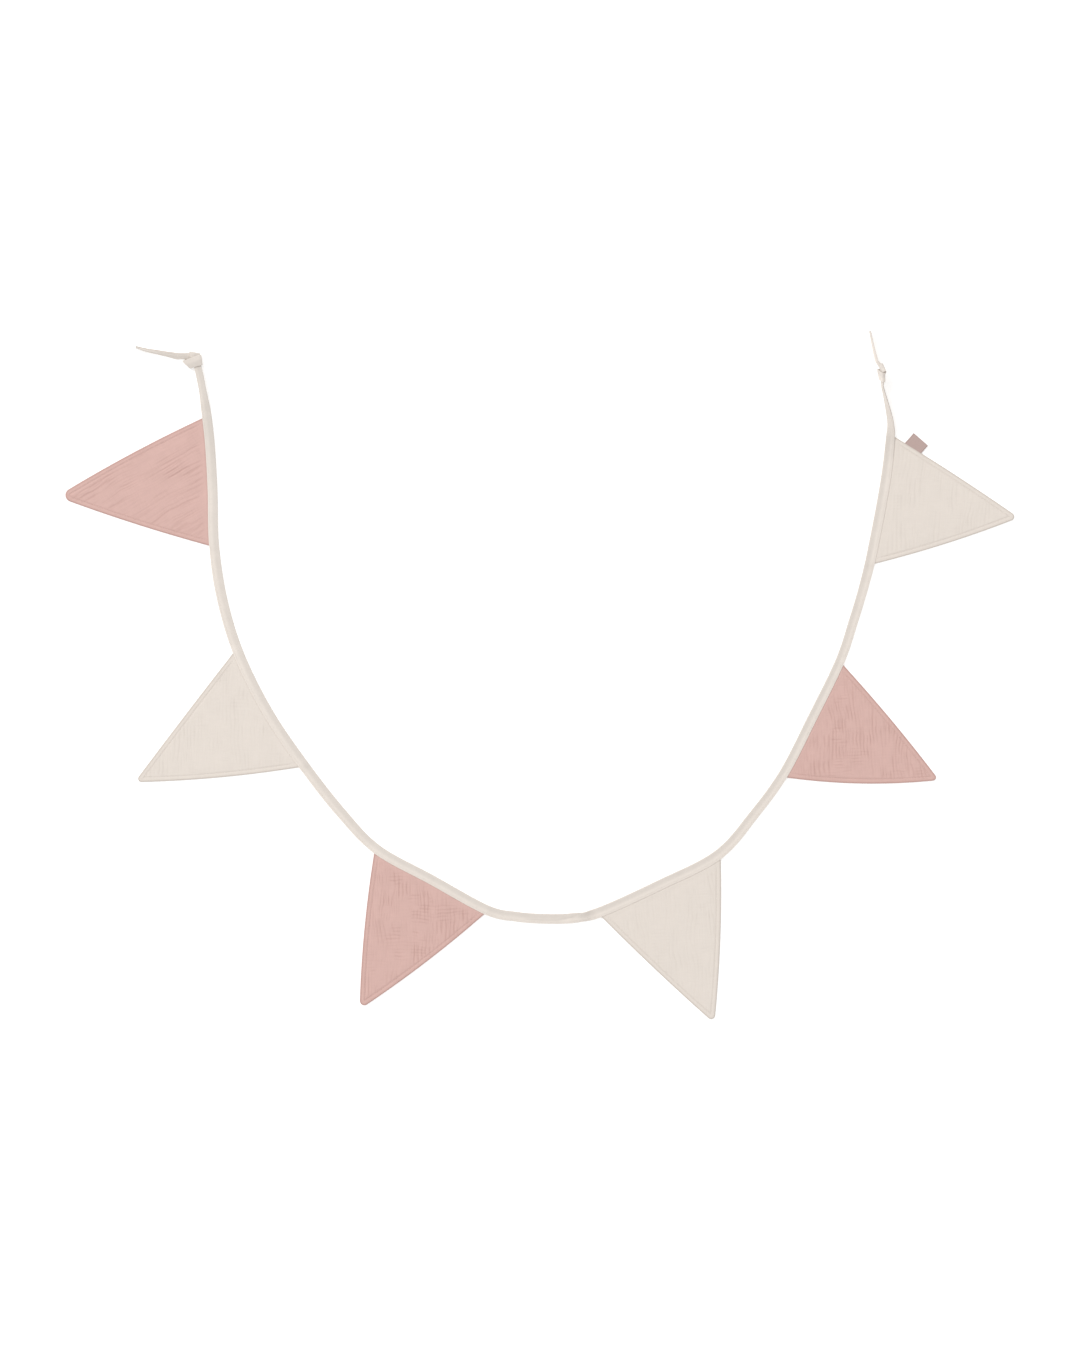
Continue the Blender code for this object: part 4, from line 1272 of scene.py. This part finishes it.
labelled = plans[-1]
_, side_b = labelled.sides(np.array((0.0, 0.5)))
side_way = unit(side_b[1] - side_b[0])
spin = np.array(((math.cos(LABEL_TILT), math.sin(LABEL_TILT)),
                 (-math.sin(LABEL_TILT), math.cos(LABEL_TILT))))
label_along = side_way @ spin
label_out = np.array((label_along[1], -label_along[0]))
if label_out @ labelled.out_b < 0:
    label_out = -label_out
label_at = side_b[0] + side_way * LABEL_ALONG_SIDE
label_at = label_at + labelled.out_b * labelled.row.bow_end * 0.5 * MM


def label_path(t):
    """Out, up and facing of the ribbon's middle at t, from one caught end to the other."""
    straight = LABEL_STANDS_OUT + LABEL_SEWN_IN - LABEL_LOOP
    half_turn = math.pi * LABEL_LOOP
    travelled = t * (2.0 * straight + half_turn)
    if travelled < straight:
        return travelled - LABEL_SEWN_IN, -LABEL_LOOP, (0.0, -1.0)
    if travelled > straight + half_turn:
        return straight * 2.0 + half_turn - travelled - LABEL_SEWN_IN, LABEL_LOOP, (0.0, 1.0)
    angle = (travelled - straight) / LABEL_LOOP - 0.5 * math.pi
    facing = (math.cos(angle), math.sin(angle))
    return straight - LABEL_SEWN_IN + LABEL_LOOP * facing[0], LABEL_LOOP * facing[1], facing


label_points = []
label_u_v = []
label_shades = []
columns = np.linspace(-0.5, 0.5, LABEL_COLUMNS)
path_shares = np.concatenate((np.linspace(0.0, FOLD_BEGINS, ROWS_A_LAYER),
                              np.linspace(FOLD_BEGINS, FOLD_ENDS, ROWS_ROUND_FOLD)[1:-1],
                              np.linspace(FOLD_ENDS, 1.0, ROWS_A_LAYER)))
for t in path_shares:
    reach, lift, facing = label_path(t)
    bow = LABEL_BOW * max(0.0, reach / LABEL_STANDS_OUT)
    # Painted shade on the turned fold; the woven edges are darker in their own colour.
    fold_shade = FOLD_SHADE * math.exp(-((t - 0.5) / FOLD_SHADE_REACH) ** 2)
    ring = []
    for sign in (1, -1):
        for share in columns[::sign]:
            thin = 0.5 * LABEL_PLY * (1.0 if abs(share) < THIN_FROM else THIN_SHARE)
            out = reach + sign * facing[0] * thin
            up = LABEL_MIDDLE_HEIGHT + lift + sign * facing[1] * thin
            up += bow * math.sin(math.pi * (share + 0.5))
            place = label_at + label_along * share * LABEL_LENGTH + label_out * out
            ring.append((*place, up))
            label_u_v.append((share * LABEL_LENGTH, t * 2.0 * LABEL_STANDS_OUT))
            woven_edge = ease((abs(share) - WOVEN_EDGE_FROM) / WOVEN_EDGE_OVER)
            label_shades.append(max(woven_edge, fold_shade))
    label_points.append(ring)
label_points = np.array(label_points)
label = mesh_object("folded_label", label_points.reshape(-1, 3),
                    tube_faces(len(path_shares), 2 * LABEL_COLUMNS), np.array(label_u_v))
remember_shade(label, label_shades)
print("label:", len(label.data.polygons), "faces")

# %% [markdown]
# ## Nodes for a material
#
# A material is a small graph of nodes, and written out link by link it hides what it is for. So
# three helpers come first: one adds a node with its settings, one works out a sum, and one gives
# noise whose grains are so long and so wide on the cloth. Noise read in the object's own space
# would run straight through a fold, so all of it is read from the UV map of the flat cloth.

# %% Helpers for material nodes
GRAIN_DETAIL = 3.0


def add_node(material, kind, **values):
    """A node of one kind in a material, with some of its settings."""
    node = material.node_tree.nodes.new(kind)
    for name, value in values.items():
        setattr(node, name, value)
    return node


def calculate(material, operation, first, second=None):
    """A Math node; each input is a socket or a number."""
    node = add_node(material, "ShaderNodeMath", operation=operation)
    for socket, value in zip(node.inputs, (first, second)):
        if isinstance(value, (int, float)):
            socket.default_value = value
        elif value is not None:
            material.node_tree.links.new(value, socket)
    return node.outputs[0]


def scaled_noise(material, place, along, across):
    """Noise whose grains are along by across metres on the cloth."""
    stretch = add_node(material, "ShaderNodeMapping")
    stretch.inputs["Scale"].default_value = (1.0 / along, 1.0 / across, 1.0)
    grain = add_node(material, "ShaderNodeTexNoise")
    grain.inputs["Scale"].default_value = 1.0
    grain.inputs["Detail"].default_value = GRAIN_DETAIL
    material.node_tree.links.new(place, stretch.inputs["Vector"])
    material.node_tree.links.new(stretch.outputs[0], grain.inputs["Vector"])
    return grain.outputs["Fac"]


print("noise has", GRAIN_DETAIL, "octaves of detail")

# %% [markdown]
# ## Finish of the cloths
#
# All the cloths are matt cotton, so they share one way of building a material. A plain weave is
# two sets of rounded threads crossing: the sine of the place on the cloth gives each set, and the
# higher one wins. It only makes a bump, as single threads are finer than the mesh. Slow noise
# varies the dye along the threads, and the crease attribute darkens the valleys, where less light
# gets in. A little sheen stands for the fuzz. Image textures would tie the cloth to one size.

# %% A material for woven cotton
Weave = namedtuple("Weave", "pitch depth turn_deg")
COTTON_ROUGHNESS = 0.92
COTTON_SPECULAR = 0.25
FUZZ = 0.12
FUZZ_ROUGHNESS = 0.5
OVER_AND_UNDER = 0.3
BUMP_STRENGTH = 0.7

# Grains of noise on the cloth, along by across its threads, in metres.
Grain = namedtuple("Grain", "along across")
SLUB = Grain(18.0 * MM, 0.7 * MM)
STREAK = Grain(24.0 * MM, 1.9 * MM)
CROSS_STREAK = Grain(1.9 * MM, 16.0 * MM)
CLOUD = Grain(22.0 * MM, 22.0 * MM)
MEAN_OF_THREE_GRAINS = 1.5


def weave_height(material, place, weave):
    """Height of the weave: two crossing rows of round ridges, each over and under by turns."""
    parts = add_node(material, "ShaderNodeSeparateXYZ")
    material.node_tree.links.new(place, parts.inputs[0])
    ridges = []
    for socket in parts.outputs[:2]:
        turns = calculate(material, "MULTIPLY", socket, math.pi / weave.pitch)
        ridges.append(calculate(material, "SINE", turns))
    over = calculate(material, "MULTIPLY", ridges[0], ridges[1])
    over = calculate(material, "MULTIPLY", over, OVER_AND_UNDER)
    warp = calculate(material, "ADD", calculate(material, "ABSOLUTE", ridges[0]), over)
    weft = calculate(material, "SUBTRACT", calculate(material, "ABSOLUTE", ridges[1]), over)
    height = calculate(material, "MAXIMUM", warp, weft)
    return calculate(material, "ADD", height, scaled_noise(material, place, *SLUB))


def dye_tone(material, place, streaks):
    """How light the dye is: about 1, with streaks along both sets of threads and clouds."""
    tone = calculate(material, "ADD", scaled_noise(material, place, *STREAK),
                     scaled_noise(material, place, *CROSS_STREAK))
    tone = calculate(material, "ADD", tone, scaled_noise(material, place, *CLOUD))
    tone = calculate(material, "SUBTRACT", tone, MEAN_OF_THREE_GRAINS)
    tone = calculate(material, "MULTIPLY", tone, streaks)
    return calculate(material, "ADD", tone, 1.0)


def woven(name, colour, weave, streaks, valley=None):
    """Matt woven cotton, its dye as uneven as streaks says; valley is its darker colour."""
    material = bpy.data.materials.new(name)
    material.use_nodes = True
    links = material.node_tree.links
    shader = material.node_tree.nodes["Principled BSDF"]
    shader.inputs["Roughness"].default_value = COTTON_ROUGHNESS
    shader.inputs["Specular IOR Level"].default_value = COTTON_SPECULAR
    shader.inputs["Sheen Weight"].default_value = FUZZ
    shader.inputs["Sheen Roughness"].default_value = FUZZ_ROUGHNESS

    cloth_map = add_node(material, "ShaderNodeUVMap", uv_map="cloth")
    turned = add_node(material, "ShaderNodeMapping")
    turned.inputs["Rotation"].default_value[2] = math.radians(weave.turn_deg)
    links.new(cloth_map.outputs[0], turned.inputs["Vector"])
    place = turned.outputs[0]

    bump = add_node(material, "ShaderNodeBump")
    bump.inputs["Strength"].default_value = BUMP_STRENGTH
    bump.inputs["Distance"].default_value = weave.depth
    links.new(weave_height(material, place, weave), bump.inputs["Height"])
    links.new(bump.outputs[0], shader.inputs["Normal"])

    # The crease attribute mixes in valley: painted shade in creases, grooves, rims and the label's
    # fold, with the tape's greyer parts and the label's darker woven edges.
    sunk = add_node(material, "ShaderNodeAttribute", attribute_name="crease")
    dye = add_node(material, "ShaderNodeMix", data_type="RGBA")
    dye.inputs["A"].default_value = (*colour, 1.0)
    dye.inputs["B"].default_value = (*(valley or colour), 1.0)
    links.new(sunk.outputs["Fac"], dye.inputs["Factor"])

    light = dye_tone(material, place, streaks)
    grey = add_node(material, "ShaderNodeCombineColor")
    for socket in grey.inputs[:3]:
        links.new(light, socket)
    paint = add_node(material, "ShaderNodeMix", data_type="RGBA", blend_type="MULTIPLY")
    paint.inputs["Factor"].default_value = 1.0
    links.new(dye.outputs["Result"], paint.inputs["A"])
    links.new(grey.outputs[0], paint.inputs["B"])
    links.new(paint.outputs["Result"], shader.inputs["Base Color"])
    return material


COLOURS = {
    "pink": (0.714, 0.474, 0.426),
    # The pink and cream valley colours are painted shade for the creases, rims and stitch grooves.
    "pink painted shade": (0.520, 0.312, 0.274),
    "pink thread": (0.760, 0.560, 0.510),
    "cream": (0.814, 0.740, 0.672),
    "cream painted shade": (0.620, 0.552, 0.494),
    "cream thread": (0.850, 0.790, 0.730),
    "tape": (0.840, 0.766, 0.698),
    # The tape's darker colour: greyer by the fold and towards the knots, and painted shade in the
    # stitch groove and the slanting crease.
    "tape greyer and in painted shade": (0.700, 0.640, 0.585),
    "rose taupe": (0.520, 0.388, 0.357),
    # The label's darker colour: its woven edges, and painted shade at its fold.
    "taupe edge and painted shade": (0.430, 0.310, 0.285),
}
print("colours:", ", ".join(COLOURS))

# %% [markdown]
# ## Dressing the pieces
#
# Gauze is an open weave, the tape a fine one cut slanting, and the label a finer one still. Each
# piece gets its finish, the solid it stands for is hidden, and the flat sizes of the pennants and
# the tape are printed. One material for all the cream pieces would be quicker, but the tape is a
# closer and lighter cloth than the pennants, and side by side it shows. Creases take up a little
# of a pennant's cloth, so it was cut that much larger.

# %% Give every piece its finish
GAUZE = Weave(0.55 * MM, 0.09 * MM, 0.0)
BIAS_TAPE = Weave(0.34 * MM, 0.05 * MM, 45.0)
RIBBON = Weave(0.28 * MM, 0.04 * MM, 0.0)
TWISTED_THREAD = Weave(0.3 * MM, 0.06 * MM, 35.0)
TAKEN_UP_BY_CREASES = 1.02

muslin = {
    "pink": woven("pink_double_gauze", COLOURS["pink"], GAUZE, 0.09, COLOURS["pink painted shade"]),
    "cream": woven("cream_double_gauze", COLOURS["cream"], GAUZE, 0.05, COLOURS["cream painted shade"]),
}
tape_cotton = woven("cream_bias_tape", COLOURS["tape"], BIAS_TAPE, 0.03,
                    COLOURS["tape greyer and in painted shade"])
label_ribbon = woven("label_ribbon", COLOURS["rose taupe"], RIBBON, 0.03, COLOURS["taupe edge and painted shade"])
threads = {
    "pink": woven("pink_thread", COLOURS["pink thread"], TWISTED_THREAD, 0.06),
    "cream": woven("cream_thread", COLOURS["cream thread"], TWISTED_THREAD, 0.06),
}


def dress(piece, material):
    """Give a piece its finish, and let it move with the one body there is."""
    piece.data.materials.append(material)
    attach(piece, "root")


for plan, piece, stitches in zip(plans, pennants, topstitches):
    dress(piece, muslin[plan.row.cloth])
    dress(stitches, threads[plan.row.cloth])
    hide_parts(f"pennant_{plan.row.number}")
    depth = float(plan.height + plan.tip_radius + TAPE_WIDTH)
    cut_area = plan.area() * TAKEN_UP_BY_CREASES
    plan.base_width()
    print(piece.name, "flat size", round(plan.base_width(), 3), "by", round(depth, 3), "m")

dress(tape, tape_cotton)
dress(tape_thread, threads["cream"])
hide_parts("tape")
dress(label, label_ribbon)
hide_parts("side_label")
print("tape flat size", round(2.0 * TAPE_WIDTH, 3), "by", round(TAPE_LENGTH, 3), "m")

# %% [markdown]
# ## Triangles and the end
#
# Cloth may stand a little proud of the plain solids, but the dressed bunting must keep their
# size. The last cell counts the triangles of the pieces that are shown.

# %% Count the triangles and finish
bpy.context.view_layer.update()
triangles = sum(len(p.vertices) - 2 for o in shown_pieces() for p in o.data.polygons)
print("triangles:", triangles)
